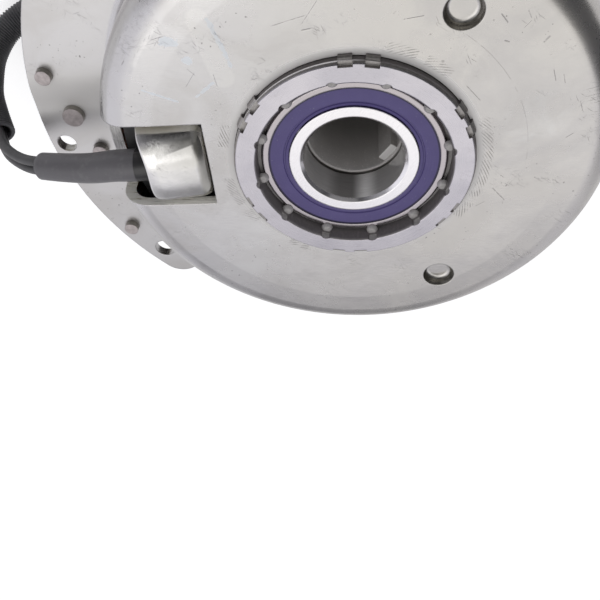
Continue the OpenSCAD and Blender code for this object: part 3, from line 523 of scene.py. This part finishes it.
# the notch's floor in the wall: milled bright, with streaks across it
notch = times(spread(facing[2], 0.8, 0.9), figure("COMPARE", at[2], NOTCH_FLOOR, 0.0004),
              spread(radius, 0.0770, 0.0768))
milled = spread(grain(xyz, 1.0, 4, 0.7, (2600, 220, 300)), 0.35, 0.6)
tint = between(notch, tint, between(milled, (0.60, 0.59, 0.58), (1.0, 0.99, 0.98)))
# the lobe is duller than the cup, most of all on its drawn step, and so is the face next to the ring
lobe = times(spread(at[2], 0.0575, 0.0565), spread(facing[2], 0.90, 0.94))
step = figure("ABSOLUTE", figure("ADD", at[1], 0.0095))
step = times(lobe, spread(step, 0.0125, 0.0040, soft=True))
by_ring = times(spread(radius, 0.0392, 0.0362, soft=True), spread(at[2], 0.079, 0.0795))
matt = most(step, times(by_ring, less(painted_corner_shade)))
tint = between(matt, tint, between(times(tick, 0.6), (0.69, 0.675, 0.66), (0.25, 0.24, 0.23)))
join(tint, "Base Color")
plated = less(most(times(matt, 0.62), times(most(sheared, notch), 0.85)))
join(plated, "Metallic")
dull = spread(grain(xyz, 60, 5, 0.6), 0.3, 0.7, 0.19, 0.33)
dull = figure("MULTIPLY_ADD", film, 0.2, dull)
dull = most(dull, most(times(lobe, 0.38), times(matt, 0.55)))
join(figure("MULTIPLY_ADD", sheared, 0.06, dull), "Roughness")
hair = grain(xyz, 1.0, 3, 0.6, (300, 3200, 2000), turn=8)
fine = relief(hair, 0.000013, worn_edge(0.0005))
waves = times(grain(xyz, 260, 4, 0.6), spread(step, 0, 1, 1.0, 0.1))
fine = relief(waves, 0.000025, fine)
fine = relief(times(torn, sheared), 0.0005, fine)
relief(less(most(lines, nicks)), 0.00003, fine)
dress("field_shell", shell_steel)


# The pole ring: the magnet's inner pole, turned from steel and ground on top. It is staked to the shell
# with six pairs of square marks, and over the bearing with twelve half-round ones.
def lathe_marks(along, detail=3.0):
    """The fine lines that a turning tool leaves, from 0 to 1."""
    return node("ShaderNodeTexNoise", {"W": along, "Scale": 1.0, "Detail": detail},
                noise_dimensions="1D").outputs["Fac"]


ring_steel = finish("ring_steel", (0.62, 0.60, 0.635), 1.0, 0.26)
xyz = place()
at = parts(xyz)
radius = around(at)[0]
facing = outward()
# painted shade: the punch marks, the trench over the bearing and the ring's outside are darkened for
# the shade in these hollows and the outside's dark reflection, and made rough; only the upper part of
# its side next to the lead is bright, a painted reflection
sunk = spread(at[2], 0.08345, 0.0832)
painted_trench_shade = times(sunk, figure("COMPARE", radius, 0.0290, 0.0004))
painted_stake_shade = times(sunk, spread(radius, 0.0300, 0.0299))
painted_punch_shade = times(figure("COMPARE", at[2], 0.0815, 0.0017), spread(radius, 0.0336, 0.0337))
# painted shade and dark reflection on the outer wall, with a painted reflection on its upper part next
# to the lead
outside = times(spread(radius, 0.0347, 0.0349), spread(facing[2], 0.3, 0.1))
foot = spread(at[2], 0.0822, 0.0819)
painted_wall_reflection = times(outside, less(foot))
outside = times(outside, most(foot, spread(at[0], 0.006, -0.004)))
mottle = grain(xyz, 1500, 3)
stain = spot(xyz, (0.002, -0.0325, 0.0835), 0.004, 0.016)
stain = figure("MULTIPLY_ADD", stain, 0.25, grain(xyz, 90, 4, 0.55))
tone = between(spread(stain, 0.4, 0.75), (0.63, 0.605, 0.64), (0.54, 0.52, 0.56))
tone = between(painted_punch_shade, tone, between(mottle, (0.24, 0.225, 0.22), (0.52, 0.50, 0.48)))
tone = between(painted_stake_shade, tone, between(mottle, (0.26, 0.25, 0.245), (0.52, 0.50, 0.49)))
tone = between(most(painted_trench_shade, outside), tone,
               between(mottle, (0.105, 0.097, 0.098), (0.20, 0.185, 0.185)))
tone = between(times(painted_wall_reflection, less(outside)), tone, (0.95, 0.93, 0.93))
scratch = most(marks(xyz, 35, 0.003, 0.0002, 0.68), marks(xyz, -70, 0.004, 0.0002, 0.68))
tone = between(times(scratch, 0.4), tone, (0.3, 0.28, 0.28))
join(tone, "Base Color")
turned = lathe_marks(times(radius, 9000))
painted_shade_zones = most(most(painted_trench_shade, outside), most(painted_punch_shade, painted_stake_shade))
join(spread(most(painted_trench_shade, painted_stake_shade, painted_wall_reflection), 0, 1, 1.0, 0.25), "Metallic")
join(figure("MULTIPLY_ADD", painted_shade_zones, 0.2, spread(turned, 0.3, 0.7, 0.20, 0.30)), "Roughness")
fine = relief(turned, 0.000003, worn_edge(0.0003))
relief(grain(xyz, 900, 4), 0.00001, fine)
dress("pole_ring", ring_steel)


# The hood over the lead's entry: bright sheet, formed to a rounded box that stands on the bobbin's
# flange.
# Its near side is dented along a line; the dent's dark reflection is painted as a crease, with a
# painted grainy highlight beside it. Sizes in millimetres; the back is a little fuller than the CAD's.
HOOD_BACK = 43.4
HOOD_BACK_ROLL = 4
HOOD_MOUTH = 63.6
HOOD_LIP = 4.5
HOOD_FLOOR = 70.5
HOOD_CROWN = 11.7
HOOD_RISE, HOOD_RISE_FROM, HOOD_RISE_TO = 0.2, 43.8, 58
HOOD_HALF = 14.2
HOOD_SHEET = 1.2
HOOD_EDGE_BULGE = 0.35
HOOD_ROWS, HOOD_COLS = 70, 110

hood_steel = finish("hood_steel", (0.74, 0.73, 0.71), 1.0, 0.2)
xyz = place()
scuffs = most(marks(xyz, 50, 0.002, 0.0002, 0.66), marks(xyz, -20, 0.0015, 0.0002, 0.68))
rubbed = most(spot(xyz, (0.0570, -0.0020, 0.084), 0.0015, 0.0050),
              spot(xyz, (0.0510, -0.0010, 0.083), 0.0006, 0.0024))
scuffs = times(scuffs, spread(rubbed, 0, 1, 0.15, 1.0))
tone = between(spread(grain(xyz, 200, 4), 0.4, 0.8), (0.78, 0.765, 0.755), (0.68, 0.67, 0.66))
at = parts(xyz)
# distance on the near side of the dent's sharp edge, which runs from the back corner to the mouth
fold = figure("SUBTRACT", figure("MULTIPLY_ADD", at[0], 0.232, -0.01910), at[1])
# a painted dark reflection along the dent, drawn as a crease
painted_crease_reflection = times(spread(fold, 0.0, 0.0004), spread(fold, 0.0041, 0.0016, soft=True))
ends = times(spread(at[0], 0.0459, 0.0474), spread(at[0], 0.0570, 0.0515, soft=True))
pitted = times(spread(grain(xyz, 900, 4, 0.7), 0.35, 0.55), spread(at[0], 0.0495, 0.0560))
painted_crease_reflection = times(painted_crease_reflection, ends, less(times(pitted, 0.8)), 0.86)
tone = between(painted_crease_reflection, tone, (0.14, 0.14, 0.145))
# a painted highlight with grain beside the crease
painted_highlight = times(spot(xyz, (0.0578, -0.0086, 0.0830), 0.0006, 0.0042, (0.8, 1.1, 1)),
              spread(grain(xyz, 1100, 4, 0.7), 0.40, 0.60, 0.2, 1.0))
tone = between(painted_highlight, tone, (0.90, 0.89, 0.85))
# painted shade and dark reflection on its rolled back and its near flank
rolled = most(spread(at[0], 0.0474, 0.0456, soft=True), spread(at[0], 0.0560, 0.0490, 0, 0.30))
tone = between(times(rolled, 0.75), tone, (0.36, 0.35, 0.30))
flank = times(spread(at[1], -0.0112, -0.0128), spread(at[0], 0.0490, 0.0540), 0.6)
tone = between(flank, tone, (0.36, 0.33, 0.25))
join(between(times(scuffs, 0.6), tone, (0.20, 0.19, 0.18)), "Base Color")
join(spread(painted_highlight, 0, 1, 1.0, 0.35), "Metallic")
roughen(grain(xyz, 150, 5), 0.15, 0.26)
fine = relief(grain(xyz, 260, 3), 0.00005)
relief(grain(xyz, 1400, 3), 0.00001, fine)


def hood_point(u, a, inset):
    """A point of the outer skin, or of the inner one at an inset, in metres: u runs from the back to
    the mouth, a across."""
    c, s = math.cos(a), max(0.0, math.sin(a))
    # the near side is rounder than the far side, and the mouth is cut back at its crown and far corner
    q = 0.82 if c < 0 else 0.57
    trim = min(0.98, max(0.0, (HOOD_HALF * max(0.0, c) ** q - 4) / 8))
    mouth = HOOD_MOUTH - 2.4 * s ** 4 - 5 * (1 - math.sqrt(1 - trim * trim))
    start = HOOD_BACK + inset
    x = start + u * (mouth - start)
    along = x - inset
    back = min(1.0, max(0.0, (along - HOOD_BACK) / HOOD_BACK_ROLL))
    lip = min(1.0, max(0.0, (along - HOOD_MOUTH + HOOD_LIP) / HOOD_LIP))
    roll = 1 - math.sqrt(max(0.0, 1 - (1 - back) ** 2))
    rise = HOOD_RISE * (min(along, HOOD_RISE_TO) - HOOD_RISE_FROM)
    crown = HOOD_CROWN + rise - 2.7 * roll - 1.3 * (1 - math.sqrt(1 - 0.9 * lip * lip))
    half = HOOD_HALF - 2.2 * roll - inset
    y = half * math.copysign(abs(c) ** q, c)
    return Vector((x, y, HOOD_FLOOR + (crown - inset) * s ** q)) / 1000


verts, faces = [], []
skins = []
for inset in (0.0, HOOD_SHEET):
    skins.append(len(verts))
    for i in range(HOOD_ROWS + 1):
        for k in range(HOOD_COLS + 1):
            verts.append(hood_point((i / HOOD_ROWS) ** 1.6, math.pi * k / HOOD_COLS, inset))
wide = HOOD_COLS + 1
outer, inner = skins
for i in range(HOOD_ROWS):
    for k in range(HOOD_COLS):
        a, b = outer + i * wide + k, inner + i * wide + k
        faces.append((a, a + wide, a + wide + 1, a + 1))
        faces.append((b, b + 1, b + wide + 1, b + wide))
# the mouth's rounded edge, the two feet, and the closed back
outer_end, inner_end, lip = outer + HOOD_ROWS * wide, inner + HOOD_ROWS * wide, len(verts)
bulge = Vector((HOOD_EDGE_BULGE / 1000, 0, 0))
for k in range(HOOD_COLS + 1):
    verts.append((verts[outer_end + k] + verts[inner_end + k]) / 2 + bulge)
for k in range(HOOD_COLS):
    a, b = outer_end + k, inner_end + k
    faces.append((a, lip + k, lip + k + 1, a + 1))
    faces.append((lip + k, b, b + 1, lip + k + 1))
for i in range(HOOD_ROWS):
    for k, far in ((0, False), (HOOD_COLS, True)):
        a, b = outer + i * wide + k, inner + i * wide + k
        faces.append((a, a + wide, b + wide, b) if far else (a, b, b + wide, a + wide))
faces.append(tuple(outer + k for k in range(HOOD_COLS + 1)))
mesh = bpy.data.meshes.new("hood")
mesh.from_pydata(verts, [], faces)
mesh.shade_smooth()
mesh.polygons[-1].use_smooth = False
hood = bpy.data.objects.new("hood", mesh)
bpy.context.collection.objects.link(hood)
hood.data.materials.append(hood_steel)
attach(hood, "field")
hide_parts("lead_hood")


# The coil: enamelled copper wire on a moulded black bobbin, sealed in the shell with dark resin. The
# bobbin's upper flange is the floor that shows in the window.
WIRE_LAYER = 0.00028

bobbin_black = finish("bobbin_black", (0.05, 0.05, 0.052), rough=0.5)
xyz = place()
tone = between(spread(grain(xyz, 240, 5), 0.45, 0.75), (0.040, 0.040, 0.042), (0.085, 0.083, 0.080))
join(tone, "Base Color")
roughen(grain(xyz, 300), 0.38, 0.58)
relief(grain(xyz, 900, 3), 0.00003)
dress("coil_bobbin", bobbin_black)
resin = finish("coil_resin", (0.02, 0.02, 0.022), rough=0.3)
xyz = place()
bubble = spread(grain(xyz, 700, 1), 0.68, 0.74)
tone = between(spread(grain(xyz, 120, 4), 0.4, 0.7), (0.016, 0.016, 0.018), (0.035, 0.033, 0.031))
join(tone, "Base Color")
roughen(grain(xyz, 200), 0.18, 0.42)
fine = relief(grain(xyz, 120, 3), 0.0001, worn_edge(0.0004))
relief(less(bubble), 0.00015, fine)
dress("coil_potting", resin)
copper = finish("coil_copper", (0.55, 0.22, 0.10), 1.0, 0.3)
xyz = place()
layer = figure("PINGPONG", parts(xyz)[2], WIRE_LAYER)
relief(spread(layer, 0.0, WIRE_LAYER), 0.0002)
join(between(grain(xyz, 300, 3), (0.50, 0.19, 0.09), (0.62, 0.27, 0.12)), "Base Color")
roughen(grain(xyz, 200, 3), 0.22, 0.4)
dress("coil_winding", copper)


# The two deep-groove bearings: hardened and ground rings, polished balls in pressed cages, and violet
# rubber seals with a lip. The upper one sits in the pole ring, and its bore shows.
SEAL_RIDGE = 0.00045

bearing_steel = finish("bearing_steel", (0.72, 0.71, 0.74), 1.0, 0.14)
xyz = place()
at = parts(xyz)
radius, angle = around(at)
facing = outward()
ground = grain(xyz, 1.0, 3, 0.6, (420, 6500, 700), turn=-52)
tone = between(spread(ground, 0.35, 0.65), (0.82, 0.80, 0.815), (0.94, 0.92, 0.935))
rosy = figure("COMPARE", radius, 0.0265, 0.0014)
tone = between(rosy, tone, between(ground, (0.42, 0.385, 0.40), (0.58, 0.54, 0.555)))
# the upper bearing's bore: a dark wall of painted reflections, a darker stretch and one bright painted
# streak on the far side
bore = times(spread(radius, 0.0163, 0.0161), spread(at[2], 0.0660, 0.0665),
             spread(facing[2], 0.45, 0.15))
honed = grain(xyz, 1.0, 3, 0.6, (200, 200, 2600))
painted_dark_stretch = spread(figure("ABSOLUTE", figure("SUBTRACT", angle, 1.38)), 0.10, 0.50, soft=True)
painted_bore_reflections = between(painted_dark_stretch, between(honed, (0.19, 0.182, 0.175), (0.28, 0.27, 0.262)),
                between(honed, (0.35, 0.34, 0.332), (0.50, 0.488, 0.478)))
painted_streak = spread(figure("ABSOLUTE", figure("SUBTRACT", angle, 1.80)), 0.30, 0.0, soft=True)
painted_bore_reflections = between(times(painted_streak, spread(honed, 0.3, 0.7, 0.7, 1.0)), painted_bore_reflections, (1.0, 0.99, 0.97))
tone = between(bore, tone, painted_bore_reflections)
join(tone, "Base Color")
join(spread(bore, 0, 1, 1.0, 0.25), "Metallic")
roughen(ground, 0.12, 0.22)
relief(ground, 0.000003, worn_edge(0.0005))
for name in ("upper_outer_race", "upper_inner_race", "lower_outer_race", "lower_inner_race"):
    dress(name, bearing_steel)
ball_steel = finish("ball_steel", (0.80, 0.79, 0.80), 1.0, 0.06)
xyz = place()
roughen(grain(xyz, 300, 3), 0.04, 0.12)
join(between(grain(xyz, 200, 3), (0.74, 0.73, 0.74), (0.84, 0.83, 0.83)), "Base Color")
for name in ("upper_balls", "lower_balls"):
    dress(name, ball_steel)
seal_violet = finish("seal_violet", (0.075, 0.058, 0.185), rough=0.40)
xyz = place()
radius = around(parts(xyz))[0]
dust = spread(grain(xyz, 1900, 2), 0.70, 0.76)
tone = between(grain(xyz, 160, 4), (0.078, 0.061, 0.190), (0.100, 0.079, 0.232))
lip = spread(radius, 0.02470, 0.02490)
tone = between(times(lip, 0.8), tone, (0.012, 0.010, 0.030))
join(between(times(dust, 0.5), tone, (0.36, 0.34, 0.42)), "Base Color")
roughen(grain(xyz, 260, 3), 0.34, 0.46)
# moulding rings in the rubber
ridge = figure("PINGPONG", radius, SEAL_RIDGE)
fine = relief(spread(ridge, 0.0, SEAL_RIDGE), 0.000012)
relief(grain(xyz, 900, 3), 0.00002, fine)
for name in ("upper_seal_top", "upper_seal_bottom", "lower_seal_top", "lower_seal_bottom"):
    dress(name, seal_violet)
cage_steel = finish("cage_steel", (0.5, 0.48, 0.45), 1.0, 0.35)
xyz = place()
oil = spread(grain(xyz, 180, 4), 0.4, 0.7)
join(between(oil, (0.52, 0.50, 0.47), (0.36, 0.33, 0.27)), "Base Color")
join(spread(oil, 0, 1, 0.38, 0.22), "Roughness")
relief(grain(xyz, 900, 3), 0.00002, worn_edge(0.0003))
dress("upper_cage", cage_steel)
dress("lower_cage", cage_steel)


# The brake under the lobe: rivets and a stud through turned spacers carry a stamped steel plate, with
# a moulded lining that the armature's rim rests on.
TOOL_FEED = 0.00026

pin_steel = finish("pin_steel", (0.50, 0.455, 0.45), 0.9, 0.5)
xyz = place()
side = spread(outward()[2], 0.85, 0.5)
rings = figure("PINGPONG", parts(xyz)[2], TOOL_FEED)
tone = between(spread(grain(xyz, 900, 4), 0.35, 0.7), (0.56, 0.51, 0.505), (0.42, 0.38, 0.375))
join(between(side, tone, (0.34, 0.32, 0.29)), "Base Color")
join(spread(side, 0, 1, 0.55, 0.3), "Roughness")
fine = relief(times(side, spread(rings, 0.0, 0.0002)), 0.00006, worn_edge(0.0005))
relief(grain(xyz, 800, 3), 0.00003, fine)
for name in ("brake_pins", "brake_stud", "brake_spacers", "stud_spacer"):
    dress(name, pin_steel)
plate_steel = finish("plate_steel", (0.56, 0.55, 0.54), 1.0, 0.4)
xyz = place()
cut_face = spread(outward()[2], 0.5, 0.3)
rolled = grain(xyz, 1.0, 3, 0.6, (60, 1500, 300), turn=20)
cloud = spread(grain(xyz, 80, 5, 0.6, twist=0.8), 0.38, 0.68)
zinc = between(cloud, (0.60, 0.59, 0.575), (0.47, 0.46, 0.45))
scuffs = most(marks(xyz, 20, 0.009, 0.0003, 0.66), marks(xyz, -50, 0.006, 0.0003, 0.67))
zinc = between(times(scuffs, 0.5), zinc, (0.25, 0.24, 0.23))
join(between(times(cut_face, 0.4), zinc, (0.36, 0.34, 0.31)), "Base Color")
roughen(rolled, 0.30, 0.46)
fine = relief(rolled, 0.00001, worn_edge(0.0005))
relief(grain(xyz, 300, 4), 0.00005, fine)
dress("brake_plate", plate_steel)
lining_brown = finish("lining", (0.07, 0.055, 0.045), rough=0.85)
xyz = place()
fibre = most(marks(xyz, 30, 0.003, 0.00025, 0.60), marks(xyz, -65, 0.0025, 0.00025, 0.60))
tone = between(spread(grain(xyz, 800, 4), 0.35, 0.7), (0.06, 0.047, 0.038), (0.12, 0.098, 0.080))
join(between(times(fibre, 0.6), tone, (0.42, 0.30, 0.13)), "Base Color")
roughen(grain(xyz, 500), 0.7, 0.92)
relief(grain(xyz, 900, 5), 0.0001, worn_edge(0.0004))
dress("brake_lining", lining_brown)
dress("friction_ring", lining_brown)


# The rotor: pressed and machined iron, with the speckled look of sintered metal and its key in the
# shaft's bore. Two snap rings of black spring steel sit on its hub and in the pulley.
KEY_ANGLE = math.radians(143)

rotor_iron = finish("rotor_iron", (0.36, 0.345, 0.34), 1.0, 0.42)
xyz = place()
at = parts(xyz)
radius, angle = around(at)
bore = spread(radius, 0.0150, 0.0146)
key = times(spread(radius, 0.01422, 0.01418), figure("COMPARE", angle, KEY_ANGLE, 0.35),
            spread(outward()[2], 0.6, 0.8))
speckle = spread(grain(xyz, 1900, 2), 0.6, 0.72)
iron = between(spread(grain(xyz, 120, 5), 0.3, 0.75), (0.40, 0.385, 0.375), (0.29, 0.27, 0.255))
sintered_with_shade = between(grain(xyz, 250, 4), (0.53, 0.51, 0.495), (0.66, 0.64, 0.62))
sintered_with_shade = between(speckle, sintered_with_shade, (0.84, 0.82, 0.79))
# painted shade: the bore is darker further down
sintered_with_shade = between(spread(at[2], 0.066, 0.044), sintered_with_shade, (0.35, 0.338, 0.328))
iron = between(bore, iron, sintered_with_shade)
iron = between(key, iron, (0.80, 0.785, 0.77))
join(iron, "Base Color")
lathe = lathe_marks(figure("MULTIPLY_ADD", at[2], 5200, times(radius, 5200)))
join(figure("MULTIPLY_ADD", bore, 0.10, spread(lathe, 0.3, 0.7, 0.34, 0.48)), "Roughness")
join(spread(bore, 0, 1, 1.0, 0.20), "Metallic")
fine = relief(lathe, 0.000008, worn_edge(0.0003))
relief(grain(xyz, 1600, 3), 0.00004, fine)
dress("rotor", rotor_iron)
snap_black = finish("snap_black", (0.08, 0.08, 0.085), 1.0, 0.4)
xyz = place()
tone = between(spread(grain(xyz, 400, 4), 0.45, 0.7), (0.07, 0.07, 0.075), (0.16, 0.15, 0.145))
join(tone, "Base Color")
roughen(grain(xyz, 600), 0.3, 0.5)
relief(grain(xyz, 1200, 3), 0.00003, worn_edge(0.0003))
for name in ("hub_snap_ring", "pulley_snap_ring"):
    dress(name, snap_black)


# The belt pulley: pressed and turned steel, its groove polished by the belt. Three leaf springs of
# blued spring steel are riveted on top of its hub, and carry the armature.
GROOVE_MIDDLE, GROOVE_HALF = 0.0125, 0.0078

pulley_steel = finish("pulley_steel", (0.55, 0.54, 0.53), 1.0, 0.36)
xyz = place()
at = parts(xyz)
radius = around(at)[0]
lathe = lathe_marks(figure("MULTIPLY_ADD", at[2], 3600, times(radius, 3600)))
flank = times(figure("COMPARE", at[2], GROOVE_MIDDLE, GROOVE_HALF), spread(radius, 0.0572, 0.0574),
              spread(radius, 0.0698, 0.0696))
cloud = spread(grain(xyz, 70, 5, 0.6, twist=0.7), 0.38, 0.68)
tone = between(cloud, (0.58, 0.57, 0.56), (0.45, 0.44, 0.425))
belt = grain(xyz, 1.0, 3, 0.6, (120, 120, 2600))
tone = between(flank, tone, between(belt, (0.38, 0.37, 0.36), (0.66, 0.65, 0.64)))
scuffs = most(marks(xyz, 35, 0.006, 0.0003, 0.67), marks(xyz, -50, 0.005, 0.0003, 0.67))
join(between(times(scuffs, 0.45), tone, (0.27, 0.26, 0.25)), "Base Color")
join(figure("MULTIPLY_ADD", flank, -0.10, spread(lathe, 0.3, 0.7, 0.28, 0.42)), "Roughness")
fine = relief(lathe, 0.00001, worn_edge(0.0005))
relief(grain(xyz, 500, 4), 0.00003, fine)
dress("pulley", pulley_steel)
leaf_steel = finish("leaf_steel", (0.33, 0.36, 0.42), 1.0, 0.3)
xyz = place()
heat = spread(grain(xyz, 55, 3, 0.5), 0.35, 0.65)
tone = between(heat, (0.30, 0.34, 0.42), (0.44, 0.40, 0.36))
scratch = times(marks(xyz, 25, 0.006, 0.0002, 0.64), 0.6)
join(between(scratch, tone, (0.62, 0.62, 0.62)), "Base Color")
roughen(grain(xyz, 300, 3), 0.22, 0.36)
relief(grain(xyz, 1.0, 3, 0.6, (100, 2600, 400), turn=30), 0.000008, worn_edge(0.0003))
dress("leaf_springs", leaf_steel)
dress("leaf_rivets", pin_steel)


# The armature: a ground iron plate with curved slots, which hangs on the leaf springs by its rivets.
# Its edges have rusted a little.
armature_iron = finish("armature_iron", (0.45, 0.44, 0.43), 1.0, 0.38)
xyz = place()
radius = around(parts(xyz))[0]
swirl = lathe_marks(times(radius, 4200), 4.0)
rust = times(spread(grain(xyz, 90, 6, 0.68, twist=0.6), 0.60, 0.76), spread(outward()[2], 0.6, 0.2))
tone = between(spread(swirl, 0.3, 0.7), (0.40, 0.39, 0.38), (0.52, 0.51, 0.50))
tone = between(spread(grain(xyz, 45, 4), 0.45, 0.75, 0, 0.5), tone, (0.33, 0.32, 0.31))
join(between(times(rust, 0.7), tone, (0.23, 0.12, 0.06)), "Base Color")
join(figure("MULTIPLY_ADD", rust, 0.3, spread(swirl, 0.3, 0.7, 0.30, 0.42)), "Roughness")
fine = relief(swirl, 0.00001, worn_edge(0.0005))
relief(grain(xyz, 500, 4), 0.00003, fine)
dress("armature", armature_iron)
dress("armature_rivets", pin_steel)


# A pale floor and soft studio light: a sky that is bright overhead, greyer at the back and dark at the
# right, with two weak lamps. The floor glows a little, so that it is as pale as the photo's background.
LAMPS = (("key", (0.25, 0.1, 0.9), 0.5, 0.5), ("fill", (-0.3, -0.7, 0.7), 0.8, 0.3))
LAMP_AIM = Vector((0, 0, 0.05))

bpy.ops.mesh.primitive_plane_add(size=6, location=(0, 0, 0))
floor = bpy.context.object
floor.name = "floor"
paper = finish("floor_paper", (0.86, 0.86, 0.86), rough=0.9)
glow = node("ShaderNodeEmission", {"Color": (1, 1, 1, 1)})
rays = node("ShaderNodeLightPath").outputs
mirrored = times(rays["Is Glossy Ray"], 0.06)
eye = figure("MULTIPLY_ADD", rays["Is Camera Ray"], 0.45, mirrored)
tree.links.new(eye, glow.inputs["Strength"])
both = node("ShaderNodeAddShader")
tree.links.new(tree.nodes["Principled BSDF"].outputs[0], both.inputs[0])
tree.links.new(glow.outputs[0], both.inputs[1])
tree.links.new(both.outputs[0], tree.nodes["Material Output"].inputs["Surface"])
floor.data.materials.append(paper)

sky = bpy.data.worlds.new("studio")
bpy.context.scene.world = sky
sky.use_nodes = True
tree = sky.node_tree
tree.nodes.clear()


def band(value, low, high, to_low=0.0, to_high=1.0):
    """A soft border across the sky."""
    return spread(value, low, high, to_low, to_high, soft=True)


x, y, z = parts(node("ShaderNodeTexCoord").outputs["Generated"])
horizon = figure("ADD", band(x, 0.15, 0.75, 0.35, 0.95), band(x, -0.12, -0.42, 0.0, 0.38))
up = node("ShaderNodeMix", {0: band(z, 0.57, 0.80), 2: horizon, 3: 1.10}).outputs[0]
up = times(up, band(z, 0.80, 0.92, 1.0, 0.85), band(x, -0.30, 0.10, 1.07, 1.0))
right = figure("MULTIPLY_ADD", y, -0.5, times(x, -1))
dark_side = times(band(right, 0.16, 0.42, 0.0, 0.88), band(y, 0.35, 0.62, 1.0, 0.25))
dark_near = times(band(y, -0.10, -0.38, 0.0, 0.93), band(z, 0.80, 0.93, 1.0, 0.0),
                  band(x, 0.05, 0.55, 1.0, 0.72))
seen = times(up, less(most(dark_side, dark_near)))
rays = node("ShaderNodeLightPath").outputs
shiny = most(rays["Is Glossy Ray"], rays["Is Transmission Ray"])
power = figure("ADD", times(shiny, seen), times(less(shiny), 0.72))
power = node("ShaderNodeMix", {0: rays["Is Camera Ray"], 2: power, 3: 1.0}).outputs[0]
# the sky is a little warm overhead and a little violet low down, but plain white to the camera
hue = between(band(z, 0.68, 0.86), (0.945, 0.943, 1.0), (1.0, 0.992, 0.972))
hue = between(rays["Is Camera Ray"], hue, (1, 1, 1))
background = node("ShaderNodeBackground", {"Color": hue, "Strength": power})
tree.links.new(background.outputs[0], node("ShaderNodeOutputWorld").inputs[0])

for name, seat, size, watts in LAMPS:
    lamp = bpy.data.objects.new(name, bpy.data.lights.new(name, "AREA"))
    lamp.data.size = size
    lamp.data.energy = watts
    lamp.location = seat
    lamp.rotation_euler = (LAMP_AIM - Vector(seat)).to_track_quat("-Z", "Y").to_euler()
    bpy.context.collection.objects.link(lamp)

bpy.context.scene.view_settings.view_transform = "Standard"
